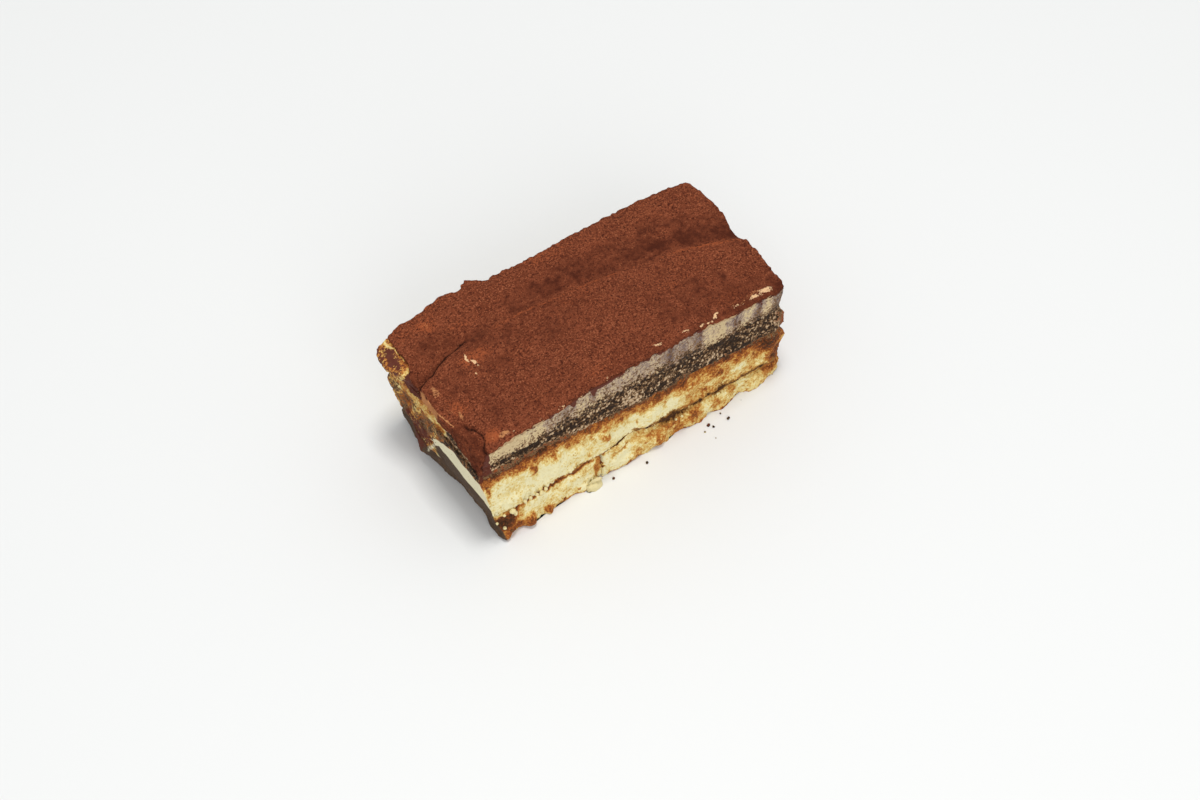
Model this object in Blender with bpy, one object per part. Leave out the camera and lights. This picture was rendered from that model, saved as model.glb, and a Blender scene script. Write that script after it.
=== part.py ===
"""A cut slice of tiramisu, modelled layer by layer.

From the base up: a row of ladyfinger sponge in two lengths that meet end to end, a second row of ladyfinger,
a thin coffee sponge, a thick layer of mascarpone cream, and a skin of cocoa powder that folds over the left
end. The slice lies along X with its long cut face towards -Y, and its origin is at the middle of its base.
Sizes below are in millimetres.
"""

import math

import bmesh
import bpy
from mathutils import Matrix, Vector, noise

MM = 0.001

# Room left between one layer and the next
GAP = 0.34

# Height of each layer's upper or lower face, read along X at the front cut face and at the back
TOP_FRONT = ((-60, 46.4), (-50, 48.6), (-20, 50.0), (20, 49.4), (46, 46.9), (60, 45.4))
TOP_BACK = ((-60, 47.6), (0, 48.0), (60, 46.4))
CREAM_BASE_FRONT = ((-60, 41.3), (-20, 39.2), (20, 38.0), (60, 36.8))
CREAM_BASE_BACK = ((-60, 41.0), (0, 39.5), (60, 38.0))
COFFEE_BASE_FRONT = ((-60, 37.2), (-40, 35.0), (-20, 32.6), (0, 29.8), (20, 28.3), (60, 26.0))
COFFEE_BASE_BACK = ((-60, 33.5), (0, 31.0), (60, 28.0))
SEAM_FRONT = ((-60, 13.0), (-20, 13.2), (-4, 14.0), (8, 11.6), (30, 10.8), (60, 9.0))
SEAM_BACK = ((-60, 14.0), (0, 12.5), (60, 12.0))
FRONT_PLANE_Y = -29.0
BACK_PLANE_Y = 31.0

# Walls of the slice: y of the long faces along X, x of the ends along Y and up Z
TOP_HEIGHT = 48.5
FRONT_TOP_Y = ((-61, -26.2), (0, -27.0), (60, -28.6))
FRONT_BASE_Y = -30.6
BACK_TOP_Y = (
    (-67, 31.0), (-61, 31.6), (-50, 33.0), (-44, 32.8), (-38, 34.2), (-31, 33.2), (-28, 34.2), (-24.5, 33.2),
    (-22, 31.2), (10, 30.6), (32, 30.8), (51, 29.2), (61, 28.4),
)
BACK_BASE_Y = ((-60, 30.2), (60, 28.0))
LEFT_X_BY_HEIGHT = ((0, -59.0), (3, -60.0), (6, -60.9), (13, -62.2), (30, -64.2), (36, -64.4), (42, -64.0))
LEFT_TOP_X = (
    (-30, -61.2), (-14, -61.8), (-9, -64.2), (0, -64.0), (5, -63.2), (9, -61.6),
    (13, -62.4), (17, -65.4), (21, -66.9), (29, -67.6), (31, -67.0),
)
RIGHT_TOP_X = (
    (-28, 61.2), (-24, 61.0), (-18, 61.3), (-9, 62.1), (-4, 61.7), (-1, 60.4), (4, 61.1), (12, 62.9),
    (20, 62.5), (27, 61.4),
)
RIGHT_X_BY_HEIGHT = ((0, 61.9), (12, 61.7), (16, 61.2), (27, 59.8), (42, 59.3))
RIGHT_FLARE_Z = (37.0, 45.0)

# The left end is torn back in its rear half, from this place on, over these lengths along Y and up Z
TORN_START_Y = 8.0
TORN_RUN = 12.0
TORN_RISE = 20.0
TORN_DEPTH = 1.1

# Upright corners, and how closely their rounding and the top's rounding keep to the edges
CORNER_RADIUS = 0.7
JOINT_CORNER_RADIUS = 0.15
CORNER_TIGHTNESS = 24
SHOULDER_DROP = 0.7
SHOULDER_TIGHTNESS = 30

# Unevenness of the top and of each layer's walls
TOP_WAVE = (22.0, 0.5)
WALL_WAVELENGTH = 6.5
CREAM_ROUGHNESS = 0.5
COFFEE_ROUGHNESS = 0.9
FINGER_ROUGHNESS = 1.5

# Each face reads its own part of the noise
TOP_SEED = 3.0
FRONT_SEED = 40.0
BACK_SEED = 90.0
LEFT_SEED = 120.0
RIGHT_SEED = -120.0
OOZE_SEED = (4.0, 2.0, 7.0)

# Where the ends lie before each face is worked
NOMINAL_ENDS = (-62.0, 60.0)

# The two strips of the top: the front one laps over the back one along this line
STRIP_LINE = ((-62, 9.0), (-57, 10.0), (-50, 13.0), (-40, 14.5), (-20, 13.6), (0, 11.4), (40, 4.5), (60, -2.5))
CREST_OFFSET = -2.4
VALLEY_OFFSET = 0.9
FAR_BANK_OFFSET = 5.0
CREST_HEIGHT = 0.7
CREST_REACH = 3.0
CRACK_DEPTH = 1.8
CRACK_REACH = 1.6
CRACK_END_X = -36
CRACK_FADE = 12.0
VALLEY_DEPTH = 1.0
VALLEY_REACH = 3.6

# Cocoa skin
COCOA_GAP = 0.5
COCOA_THICKNESS = 0.9
FLAP_FOOT_Z = ((-30, 37.8), (-26, 38.4), (-22, 41.0), (-12, 43.0), (8, 43.6))
FLAP_LAST_Y = 11.0
FLAP_FADE = 3.5
FLAP_ROOM = 1.2
BARE_END = ((14.5, 0.0), (18, 5.0), (28, 6.4))
FLAP_COLUMNS = 2

# Ladyfingers: how their cut faces swell, the joint in the lower row, and the hollow under the seam
SWELL = 0.5
SWELL_TIGHTNESS = 3
JOINT_X = -17.2
JOINT_LEAN = 0.06
FINGER_END_ROUND = 0.6
TOE_START = 0.86
TOE_X = 57.0
TOE_HEIGHT = 4.5
SEAM_RECESS = 1.4
RECESS_FOOT = 0.6
RECESS_RISE = 0.15
RECESS_START_X = -9.0
RECESS_FADE = 6.0

# Crags that stand out of the walls: place along the wall, height, reach along and up, and how far out
FRONT_CRAGS_LOWER = (
    (-57, 3, 4, 4.5, 1.9), (-49, 4.5, 2.2, 3.4, 1.2), (-38, 8, 7, 3, 0.4), (-18.5, 11, 1.6, 6, 0.5),
    (5, 5, 2.8, 3.2, 1.2), (16, 3, 6, 4, 0.5), (30, 2, 7, 3, 0.7), (46, 2, 6, 3, 0.7),
)
FRONT_CRAGS_UPPER = (
    (-44, 29, 3, 3, 0.5), (-15.5, 23, 2.6, 3, 1.0), (-16, 15.5, 1.6, 3, 0.6),
    (-6, 17, 6, 4, -0.7), (56, 22, 5, 4, 0.7),
)
RIGHT_CRAGS_COFFEE = ((-29, 29, 5, 4, 4.0), (10, 33, 7, 4, 0.9))
RIGHT_CRAGS_UPPER = ((-27, 19, 7, 3.4, 1.8), (-26, 26.5, 8, 1.6, -1.6), (6, 20, 8, 6, 0.8))
BACK_CRAGS_CREAM = ((-26.5, 47, 3, 2.6, 1.7),)
LEFT_CRAGS_UPPER = ((10, 34, 7, 6, -1.6), (19, 22, 6, 7, 1.0))
LEFT_CRAGS_LOWER = ((11, 6, 8, 8, 2.3), (-30, 3, 3.5, 8, -0.4), (-11, 0, 14, 9, -2.6))

# The torn tongue of cream stands out of the left end above this height, and reaches its full length higher up
TONGUE_FOOT_Z = 43.6
TONGUE_ROOT = 2.0
TONGUE_RISE = 3.0

# Cream pressed out at the foot of the front face
OOZE_PLACE = (-22.0, -30.8, 0.6)
OOZE_SIZE = (3.3, 2.7, 4.8)
OOZE_LUMPS = 0.18
OOZE_LUMP_SIZE = 0.5
OOZE_LEAN = 0.12
OOZE_GAP = 0.55

# How finely each layer is cut along X, along Y and up Z
COLUMNS = 38
LEFT_FINGER_COLUMNS = 12
RIGHT_FINGER_COLUMNS = 25
HIDDEN_ROWS = 10
FRONT_ROWS = 7
BACK_ROWS = 4
CREAM_LEVELS = 3
COFFEE_LEVELS = 2
UPPER_LEVELS = 5
LOWER_LEFT_LEVELS = 4
LOWER_RIGHT_LEVELS = 5
OOZE_SUBDIVISIONS = 3

# Plain colours of the layers, as linear red, green and blue, and how matt they are
COCOA = ((0.165, 0.045, 0.022), 0.95)
MASCARPONE = ((0.56, 0.46, 0.33), 0.6)
COFFEE = ((0.07, 0.04, 0.02), 0.8)
LADYFINGER = ((0.78, 0.62, 0.30), 0.85)
SOAKED_LADYFINGER = ((0.72, 0.52, 0.22), 0.85)

SHARP_ANGLE = math.radians(38)


def along(place, points):
    """Read the value at a place on a line through a few (place, value) points."""
    if place <= points[0][0]:
        return points[0][1]
    for (start, low), (end, high) in zip(points, points[1:]):
        if place <= end:
            return low + (high - low) * (place - start) / (end - start)
    return points[-1][1]


def mix(low, high, share):
    return low + (high - low) * share


def smooth(value):
    """Ease from 0 to 1."""
    value = min(1.0, max(0.0, value))
    return value * value * (3 - 2 * value)


def hump(distance, reach):
    """A soft bump that is 1 at its middle."""
    return math.exp(-((distance / reach) ** 2))


def ripple(x, y, z, wavelength, height):
    """Seeded unevenness of a torn or cut face."""
    return height * noise.noise(Vector((x, y, z)) / wavelength)


def between(x, y, front, back):
    """Height of a layer's face at x and y, from its lines at the front and at the back."""
    share = (y - FRONT_PLANE_Y) / (BACK_PLANE_Y - FRONT_PLANE_Y)
    return mix(along(x, front), along(x, back), share)


def strip_relief(x, y):
    """Crest, crack and valley where the front strip of the top laps over the back strip."""
    offset = y - along(x, STRIP_LINE)
    cracked = smooth((CRACK_END_X - x) / CRACK_FADE)
    depth = mix(VALLEY_DEPTH, CRACK_DEPTH, cracked)
    reach = mix(VALLEY_REACH, CRACK_REACH, cracked)
    crest = CREST_HEIGHT * hump(offset - CREST_OFFSET, CREST_REACH)
    return crest - depth * hump(offset - VALLEY_OFFSET, reach)


def cream_top(x, y):
    return between(x, y, TOP_FRONT, TOP_BACK) + strip_relief(x, y) + ripple(x, y, TOP_SEED, *TOP_WAVE)


def cream_base(x, y):
    return between(x, y, CREAM_BASE_FRONT, CREAM_BASE_BACK)


def coffee_base(x, y):
    return between(x, y, COFFEE_BASE_FRONT, COFFEE_BASE_BACK)


def seam(x, y):
    return between(x, y, SEAM_FRONT, SEAM_BACK)


def floor(x, y):
    return 0.0


def crags(place, height, listed):
    return sum(
        out * hump(place - middle, reach) * hump(height - level, rise)
        for middle, level, reach, rise, out in listed
    )


def front_y(x, z, layer):
    lean = mix(FRONT_BASE_Y, along(x, FRONT_TOP_Y), z / TOP_HEIGHT)
    return lean - crags(x, z, layer["front"]) + ripple(x, 0, z + FRONT_SEED, WALL_WAVELENGTH, layer["rough"])


def back_y(x, z, layer):
    lean = mix(along(x, BACK_BASE_Y), along(x, BACK_TOP_Y), z / TOP_HEIGHT)
    return lean + crags(x, z, layer["back"]) + ripple(x, BACK_SEED, z, WALL_WAVELENGTH, layer["rough"])


def left_x(y, z, layer):
    """The left end leans out as it rises, and is torn back in its rear half."""
    wall = along(z, LEFT_X_BY_HEIGHT)
    top = along(y, LEFT_TOP_X)
    straight = LEFT_X_BY_HEIGHT[-1][0]
    if top < wall:
        rise = smooth((z - TONGUE_FOOT_Z + TONGUE_ROOT) / TONGUE_RISE)
    else:
        rise = (z - straight) / (TOP_HEIGHT - straight)
    wall = mix(wall, top, min(1.0, max(0.0, rise)))
    torn = smooth((y - TORN_START_Y) / TORN_RUN) * smooth(z / TORN_RISE)
    wall += TORN_DEPTH * torn * smooth((TONGUE_FOOT_Z - z) / TONGUE_ROOT)
    bare = smooth((y - FLAP_LAST_Y) / FLAP_FADE)
    rough = layer["rough"] * bare if layer["room"] else layer["rough"]
    room = layer["room"] * (1 - bare)
    return wall + room - crags(y, z, layer["left"]) + ripple(LEFT_SEED, y, z, WALL_WAVELENGTH, rough)


def right_x(y, z, layer):
    """The right end stands straight and flares out at the top."""
    foot, head = RIGHT_FLARE_Z
    wall = mix(along(z, RIGHT_X_BY_HEIGHT), along(y, RIGHT_TOP_X), smooth((z - foot) / (head - foot)))
    return wall + crags(y, z, layer["right"]) + ripple(RIGHT_SEED, y, z, WALL_WAVELENGTH, layer["rough"])


def even_row(share, x, z, layer):
    return mix(front_y(x, z, layer), back_y(x, z, layer), share)


def strip_row(share, x, z, layer):
    """Rows of the top layers: they gather along the line where the two strips meet."""
    line = along(x, STRIP_LINE)
    row = round(share * (FRONT_ROWS + BACK_ROWS + 2))
    if row <= FRONT_ROWS:
        return mix(front_y(x, z, layer), line + CREST_OFFSET, row / FRONT_ROWS)
    if row == FRONT_ROWS + 1:
        return line + VALLEY_OFFSET
    steps = (row - FRONT_ROWS - 2) / BACK_ROWS
    return mix(line + FAR_BANK_OFFSET, back_y(x, z, layer), steps)


def plan_point(across, deep, z, layer):
    """Place in plan of a point that lies a share across the slice and a share into its depth."""
    start, end = layer["ends"]
    nominal_x = mix(start or NOMINAL_ENDS[0], end or NOMINAL_ENDS[1], across)
    nominal_y = mix(FRONT_PLANE_Y, BACK_PLANE_Y, deep)
    if layer["row"] is strip_row:
        nominal_y = strip_row(deep, nominal_x, z, layer)
    lean = JOINT_LEAN * z
    left = left_x(nominal_y, z, layer) if start is None else start + lean
    right = right_x(nominal_y, z, layer) if end is None else end + lean
    x = mix(left, right, across)
    y = layer["row"](deep, x, z, layer)
    at_joint = end is not None if across > 0.5 else start is not None
    radius = JOINT_CORNER_RADIUS if at_joint else CORNER_RADIUS
    corner = (abs(2 * across - 1) * abs(2 * deep - 1)) ** CORNER_TIGHTNESS * radius
    return x - math.copysign(corner, across - 0.5), y - math.copysign(corner, deep - 0.5)


def no_tuck(share, x):
    """A layer whose wall stands straight."""
    return 0.0


def finger_tuck(share, x):
    """A ladyfinger's cut face swells between its crusts."""
    return SWELL * abs(2 * share - 1) ** SWELL_TIGHTNESS


def seam_tuck(share, x):
    """A lower finger keeps its foot out and draws in under the seam alone."""
    return SWELL * max(0.0, 2 * share - 1) ** SWELL_TIGHTNESS


def recessed_tuck(share, x):
    """The right-hand lower finger draws back further under the seam, but not beside the joint."""
    recess = SEAM_RECESS * smooth((share - RECESS_FOOT) / RECESS_RISE)
    return mix(seam_tuck(share, x), recess, smooth((x - RECESS_START_X) / RECESS_FADE))


def layer_form(base, top, levels, rough, **changes):
    """The settings of one layer."""
    form = {
        "base": base, "top": top, "columns": COLUMNS, "rows": HIDDEN_ROWS, "levels": levels, "row": even_row,
        "ends": (None, None), "room": 0.0, "rough": rough, "shoulder": 0.0, "tuck": no_tuck,
        "front": (), "back": (), "left": (), "right": (), "toe": False, "round_end": None,
    }
    form.update(changes)
    return form


def cut_box(columns, rows, levels):
    """A unit box cut evenly along each of its edges."""
    bm = bmesh.new()
    bmesh.ops.create_cube(bm, size=1.0)
    for axis, parts in enumerate((columns, rows, levels)):
        lengthways = [e for e in bm.edges if abs((e.verts[0].co - e.verts[1].co)[axis]) > 1e-6]
        if parts > 1:
            bmesh.ops.subdivide_edges(bm, edges=lengthways, cuts=parts - 1, use_grid_fill=True)
    return bm


def toe_reach(z):
    """Rounded toe of the lower row at its right end."""
    rise = min(1.0, z / TOE_HEIGHT)
    return math.sqrt(max(0.0, 1 - (1 - rise) ** 2))


def layer_point(across, deep, up, layer):
    """Place of a point that lies given shares across, into and up a layer, before its edges are worked."""
    x, y = plan_point(across, deep, TOP_HEIGHT / 2, layer)
    height = mix(layer["base"](x, y), layer["top"](x, y), up)
    x, y = plan_point(across, deep, height, layer)
    gap = 0.0 if layer["top"] is cream_top else GAP
    edge = max(abs(2 * across - 1), abs(2 * deep - 1)) ** SHOULDER_TIGHTNESS
    z = mix(layer["base"](x, y), layer["top"](x, y) - gap, up)
    return x, y, z - layer["shoulder"] * edge * up


def shape_layer(bm, layer):
    """Carry each point of the cut box to its place in the slice."""
    for vert in bm.verts:
        across, deep, up = vert.co + Vector((0.5, 0.5, 0.5))
        x, y, z = layer_point(across, deep, up, layer)
        inward = layer["tuck"](up, x)
        if layer["round_end"] == across:
            inward += FINGER_END_ROUND * abs(2 * up - 1) ** SWELL_TIGHTNESS
        if deep in (0.0, 1.0):
            y += math.copysign(inward, 0.5 - deep)
        if across in (0.0, 1.0):
            x += math.copysign(inward, 0.5 - across)
        if layer["toe"]:
            share = smooth((across - TOE_START) / (1 - TOE_START))
            x -= share * (x - TOE_X) * (1 - toe_reach(z))
        vert.co = Vector((x, y, z)) * MM


def add_object(name, bm, material):
    """Turn a finished bmesh into a named object with its material."""
    bmesh.ops.recalc_face_normals(bm, faces=bm.faces)
    mesh = bpy.data.meshes.new(name)
    bm.to_mesh(mesh)
    bm.free()
    mesh.shade_smooth()
    mesh.set_sharp_from_angle(angle=SHARP_ANGLE)
    mesh.materials.append(material)
    piece = bpy.data.objects.new(name, mesh)
    bpy.context.collection.objects.link(piece)
    return piece


def add_layer(name, layer, material):
    bm = cut_box(layer["columns"], layer["rows"], layer["levels"])
    shape_layer(bm, layer)
    bmesh.ops.triangulate(bm, faces=bm.faces, quad_method="SHORT_EDGE")
    return add_object(name, bm, material)


def skin_point(column, columns, deep, layer):
    """A point on the cream under the cocoa: down the left end first, then along the top."""
    rim_x, rim_y, rim_z = layer_point(0.0, deep, 1.0, layer)
    if rim_y > FLAP_LAST_Y:
        bare = along(rim_y, BARE_END) / (RIGHT_X_BY_HEIGHT[-1][1] - rim_x)
        return layer_point(mix(bare, 1.0, column / columns), deep, 1.0, layer)
    if column < FLAP_COLUMNS:
        z = mix(along(rim_y, FLAP_FOOT_Z), rim_z, column / FLAP_COLUMNS)
        return *plan_point(0.0, deep, z, layer), z
    return layer_point((column - FLAP_COLUMNS) / (columns - FLAP_COLUMNS), deep, 1.0, layer)


def add_cocoa(cream, material):
    """A thin skin that lies on the cream's top and folds down its left end."""
    columns = COLUMNS + FLAP_COLUMNS
    rows = cream["rows"]
    bm = bmesh.new()
    bmesh.ops.create_grid(bm, x_segments=columns, y_segments=rows, size=0.5)
    for vert in bm.verts:
        column = round((vert.co.x + 0.5) * columns)
        deep = round((vert.co.y + 0.5) * rows) / rows
        vert.co = Vector(skin_point(column, columns, deep, cream)) * MM
    bm.normal_update()
    outward = {vert: vert.normal * vert.calc_shell_factor() for vert in bm.verts}
    for vert, way in outward.items():
        vert.co += way * COCOA_GAP * MM
    bmesh.ops.triangulate(bm, faces=bm.faces, quad_method="SHORT_EDGE")
    skin = add_object("cocoa_dusting", bm, material)
    thicken = skin.modifiers.new("skin", "SOLIDIFY")
    thicken.thickness = COCOA_THICKNESS * MM
    thicken.offset = 1.0
    thicken.use_even_offset = True
    return skin


def add_ooze(finger, material):
    """A soft bead of cream that has been pressed out of the lower row and sits against it on the ground."""
    bm = bmesh.new()
    bmesh.ops.create_icosphere(bm, subdivisions=OOZE_SUBDIVISIONS, radius=1.0)
    for vert in bm.verts:
        lump = 1 + OOZE_LUMPS * noise.noise(vert.co / OOZE_LUMP_SIZE + Vector(OOZE_SEED))
        vert.co = vert.co * Vector(OOZE_SIZE) * lump
        vert.co += Vector(OOZE_PLACE) + Vector((OOZE_LEAN * vert.co.z, 0, 0))
        vert.co.y = min(vert.co.y, front_y(vert.co.x, vert.co.z, finger) - OOZE_GAP)
        vert.co *= MM
    everything = bm.verts[:] + bm.edges[:] + bm.faces[:]
    cut = bmesh.ops.bisect_plane(
        bm, geom=everything, plane_co=(0, 0, 0), plane_no=(0, 0, 1), clear_inner=True
    )
    rim = [item for item in cut["geom_cut"] if isinstance(item, bmesh.types.BMEdge)]
    bmesh.ops.contextual_create(bm, geom=rim)
    bmesh.ops.triangulate(bm, faces=bm.faces)
    return add_object("pressed_out_cream", bm, material)


def plain_material(name, colour, roughness):
    material = bpy.data.materials.new(name)
    material.use_nodes = True
    surface = material.node_tree.nodes["Principled BSDF"]
    surface.inputs["Base Color"].default_value = (*colour, 1.0)
    surface.inputs["Roughness"].default_value = roughness
    surface.inputs["Metallic"].default_value = 0.0
    return material


def clear_scene():
    for piece in list(bpy.data.objects):
        bpy.data.objects.remove(piece, do_unlink=True)


def centre_on_base(pieces):
    """Move the slice so that the middle of its base is at the origin."""
    bpy.context.view_layer.update()
    view = bpy.context.evaluated_depsgraph_get()
    corners = [Vector(corner) for piece in pieces for corner in piece.evaluated_get(view).bound_box]
    low = Vector(min(corner[axis] for corner in corners) for axis in range(3))
    high = Vector(max(corner[axis] for corner in corners) for axis in range(3))
    middle = (low + high) / 2
    for piece in pieces:
        piece.data.transform(Matrix.Translation((-middle.x, -middle.y, -low.z)))


def main():
    clear_scene()
    cocoa = plain_material("cocoa_powder", *COCOA)
    mascarpone = plain_material("mascarpone", *MASCARPONE)
    coffee = plain_material("coffee_sponge", *COFFEE)
    finger = plain_material("ladyfinger_sponge", *LADYFINGER)
    soaked = plain_material("soaked_ladyfinger", *SOAKED_LADYFINGER)

    cream = layer_form(
        cream_base, cream_top, CREAM_LEVELS, CREAM_ROUGHNESS, rows=FRONT_ROWS + BACK_ROWS + 2, row=strip_row,
        room=FLAP_ROOM, shoulder=SHOULDER_DROP, back=BACK_CRAGS_CREAM,
    )
    coffee_layer = layer_form(
        coffee_base, cream_base, COFFEE_LEVELS, COFFEE_ROUGHNESS, room=FLAP_ROOM, right=RIGHT_CRAGS_COFFEE
    )
    upper = layer_form(
        seam, coffee_base, UPPER_LEVELS, FINGER_ROUGHNESS, tuck=finger_tuck,
        front=FRONT_CRAGS_UPPER, left=LEFT_CRAGS_UPPER, right=RIGHT_CRAGS_UPPER,
    )
    lower_left = layer_form(
        floor, seam, LOWER_LEFT_LEVELS, FINGER_ROUGHNESS, columns=LEFT_FINGER_COLUMNS, tuck=seam_tuck,
        ends=(None, JOINT_X - GAP), front=FRONT_CRAGS_LOWER, left=LEFT_CRAGS_LOWER, round_end=1.0,
    )
    lower_right = layer_form(
        floor, seam, LOWER_RIGHT_LEVELS, FINGER_ROUGHNESS, columns=RIGHT_FINGER_COLUMNS, tuck=recessed_tuck,
        ends=(JOINT_X + GAP, None), front=FRONT_CRAGS_LOWER, toe=True,
    )
    pieces = [
        add_cocoa(cream, cocoa),
        add_layer("mascarpone_cream", cream, mascarpone),
        add_layer("coffee_sponge", coffee_layer, coffee),
        add_layer("upper_ladyfinger", upper, finger),
        add_layer("lower_ladyfinger_left", lower_left, soaked),
        add_layer("lower_ladyfinger_right", lower_right, soaked),
        add_ooze(lower_left, mascarpone),
    ]
    centre_on_base(pieces)


main()
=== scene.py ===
"""Looks of a cut slice of tiramisu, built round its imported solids.

Each layer's solid is copied, its shown faces are cut finely, and the copy gets the crumb, crags, cracks and
smears of the real layer. Colour zones such as coffee stains and crusts are worked out at each point of a mesh
and kept as attributes, which the materials read. Places and sizes are in millimetres, measured from the
middle of the slice's base, with +X along its length and -Y towards its long cut face. The camera, the lamps
and the floor are in metres.
"""

import itertools

import bmesh
import bpy
import numpy as np
from mathutils import Matrix, Vector


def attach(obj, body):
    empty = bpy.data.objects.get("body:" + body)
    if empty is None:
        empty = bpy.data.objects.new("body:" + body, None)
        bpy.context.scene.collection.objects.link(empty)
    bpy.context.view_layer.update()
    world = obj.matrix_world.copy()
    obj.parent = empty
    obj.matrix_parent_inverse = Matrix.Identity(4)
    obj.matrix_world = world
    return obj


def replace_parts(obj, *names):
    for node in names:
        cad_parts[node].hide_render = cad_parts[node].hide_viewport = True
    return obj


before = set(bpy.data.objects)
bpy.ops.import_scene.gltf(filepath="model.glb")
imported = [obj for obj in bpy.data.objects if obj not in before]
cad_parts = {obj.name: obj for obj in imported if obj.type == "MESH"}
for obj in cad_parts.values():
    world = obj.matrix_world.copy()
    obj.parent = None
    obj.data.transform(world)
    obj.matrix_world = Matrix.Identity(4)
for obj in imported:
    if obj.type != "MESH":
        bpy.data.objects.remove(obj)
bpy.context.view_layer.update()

MM = 0.001

# The slice's own middle, measured from the part's origin
SLICE_MIDDLE = np.array((2.15, -1.08, 0.0))

# Camera of the photo, in the part's frame
CAMERA_PLACE = (-0.26605, -0.37815, 0.6651)
CAMERA_TOWARDS = (0.3330, 0.4618, -0.8221)
CAMERA_LENS = 69.0
SENSOR_WIDTH = 36.0

# Studio: place, size and power of each lamp, where they point, the pale walls all round, and the floor
KEY_LAMP = ((0.03, 0.0, 1.35), 0.30, 8.2)
FILL_LAMP = ((-0.35, -1.1, 0.75), 1.0, 5.2)
LAMP_TARGET = (0.0, 0.0, 0.02)
WALL_COLOUR = "#f4f6f8"
WALL_BRIGHTNESS = 0.72
FLOOR_COLOUR = "#e3e3e1"
FLOOR_SIZE = 3.0

# How finely shown faces are cut, and how many rounds their facets and their rims are left to settle
FINE_CUTS = 9
BEAD_CUTS = 6
CRUMB_CUTS = 3
SURFACE_ROUNDS = 12
RIM_ROUNDS = 4
# A point keeps its edge when its faces' mean normal is shorter than this, and a rim that turns sharper than
# this keeps its corner
SHARP_NORMAL = 0.93
SHARP_TURN = 0.7
# Corners of a node's loose triangles closer than this are one point, and a point this low is on the ground
SAME_POINT = 0.01
ON_GROUND = 0.05
# How far the hidden faces of a piece swell to close the gap to their neighbours, and those of the cream
CLOSING = 0.3
CREAM_CLOSING = 0.4

# Long faces of the slice: the front one leans, between these places at its foot and under its top edge
TOP_HEIGHT = 48.5
FRONT_BASE_Y = -30.6
FRONT_EDGE_Y = ((-61, -26.2), (0, -27.0), (60, -28.6))
FRONT_Y = -29.0
BACK_Y = 31.0
JOINT_X = -17.2
# A layer's sides are its faces that lean up or down less than this
SIDE_LEAN = 0.75
# Where the looks of the front face begin along Y, and those of the two ends along X
FRONT_LOOKS_Y = -20
END_LOOKS_X = 54

# Line where the front strip of the top laps over the back strip, and where its open crack ends
STRIP_LINE = (
    (-62, 9.0), (-57, 10.0), (-50, 13.0), (-40, 14.5), (-20, 13.6), (0, 11.4), (40, 4.5), (60, -2.5),
)
CRACK_END_X = -36.0

# Heights along X, at the front and at the back: top of the cream, foot of the cream, foot of the coffee
# sponge, and the seam between the two rows of ladyfinger
CREAM_TOP = (
    ((-60, 46.4), (-50, 48.6), (-20, 50.0), (20, 49.4), (46, 46.9), (60, 45.4)),
    ((-60, 47.6), (0, 48.0), (60, 46.4)),
)
CREAM_FOOT = (((-60, 41.3), (-20, 39.2), (20, 38.0), (60, 36.8)), ((-60, 41.0), (0, 39.5), (60, 38.0)))
COFFEE_FOOT = (
    ((-60, 37.2), (-40, 35.0), (-20, 32.6), (0, 29.8), (20, 28.3), (60, 26.0)),
    ((-60, 33.5), (0, 31.0), (60, 28.0)),
)
SEAM = (
    ((-60, 13.0), (-20, 13.2), (-4, 14.0), (8, 11.6), (30, 10.8), (60, 9.0)),
    ((-60, 14.0), (0, 12.5), (60, 12.0)),
)
# How far the coffee has run down below the coffee sponge, along X
STAIN_DEPTH = ((-60, 7.4), (-40, 7.4), (-20, 6.0), (0, 6.6), (20, 6.2), (45, 6.2), (52, 9.5), (60, 11.0))

# Where along X the knife came through the cream clean, and threads of cocoa that it dragged down: place
# along X, width and depth
CLEAN_CREAM = ((-60, -39), (26, 39), (41.5, 47.5), (51.5, 54.5))
COCOA_THREADS = (
    (-26.5, 1.1, 4.5), (-18.0, 1.0, 5.5), (12.8, 0.8, 10), (25, 0.9, 9), (40.2, 0.7, 8), (49.5, 1.2, 8),
)

# Patches on the long cut face: place, height, reach along and up, rise along it, strength
COFFEE_LIGHT = ((-4, 34.2, 5, 3.0, -0.1, 0.26), (11, 34.0, 2.6, 1.4, 0, 0.2))
COFFEE_DARK = (
    (-50, 39.4, 12, 1.3, -0.06, 0.22), (-30, 37.2, 9, 1.5, -0.12, 0.20), (-14, 35.4, 6, 1.2, 0.15, 0.26),
    (6, 29.0, 4, 3.2, -0.1, 0.24), (38, 35.0, 18, 2.6, -0.03, 0.12), (30, 27.8, 26, 1.2, -0.02, 0.24),
)
COFFEE_BROWN = (
    (18.6, 29.2, 4.6, 2.0, 0, 0.62), (36.4, 27.8, 4.0, 1.8, 0, 0.60), (7, 29.4, 4.6, 1.6, 0, 0.50),
    (50, 27.2, 7.0, 1.8, 0, 0.50), (-12, 33.8, 5.0, 1.4, 0.1, 0.42), (-31.6, 34.6, 1.6, 1.2, 0, 0.5),
    (58.6, 32.0, 2.4, 5.0, 0, 0.62), (46, 35.2, 2.4, 1.2, 0, 0.4), (12, 33.4, 4.0, 1.2, 0, 0.36),
)
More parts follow.
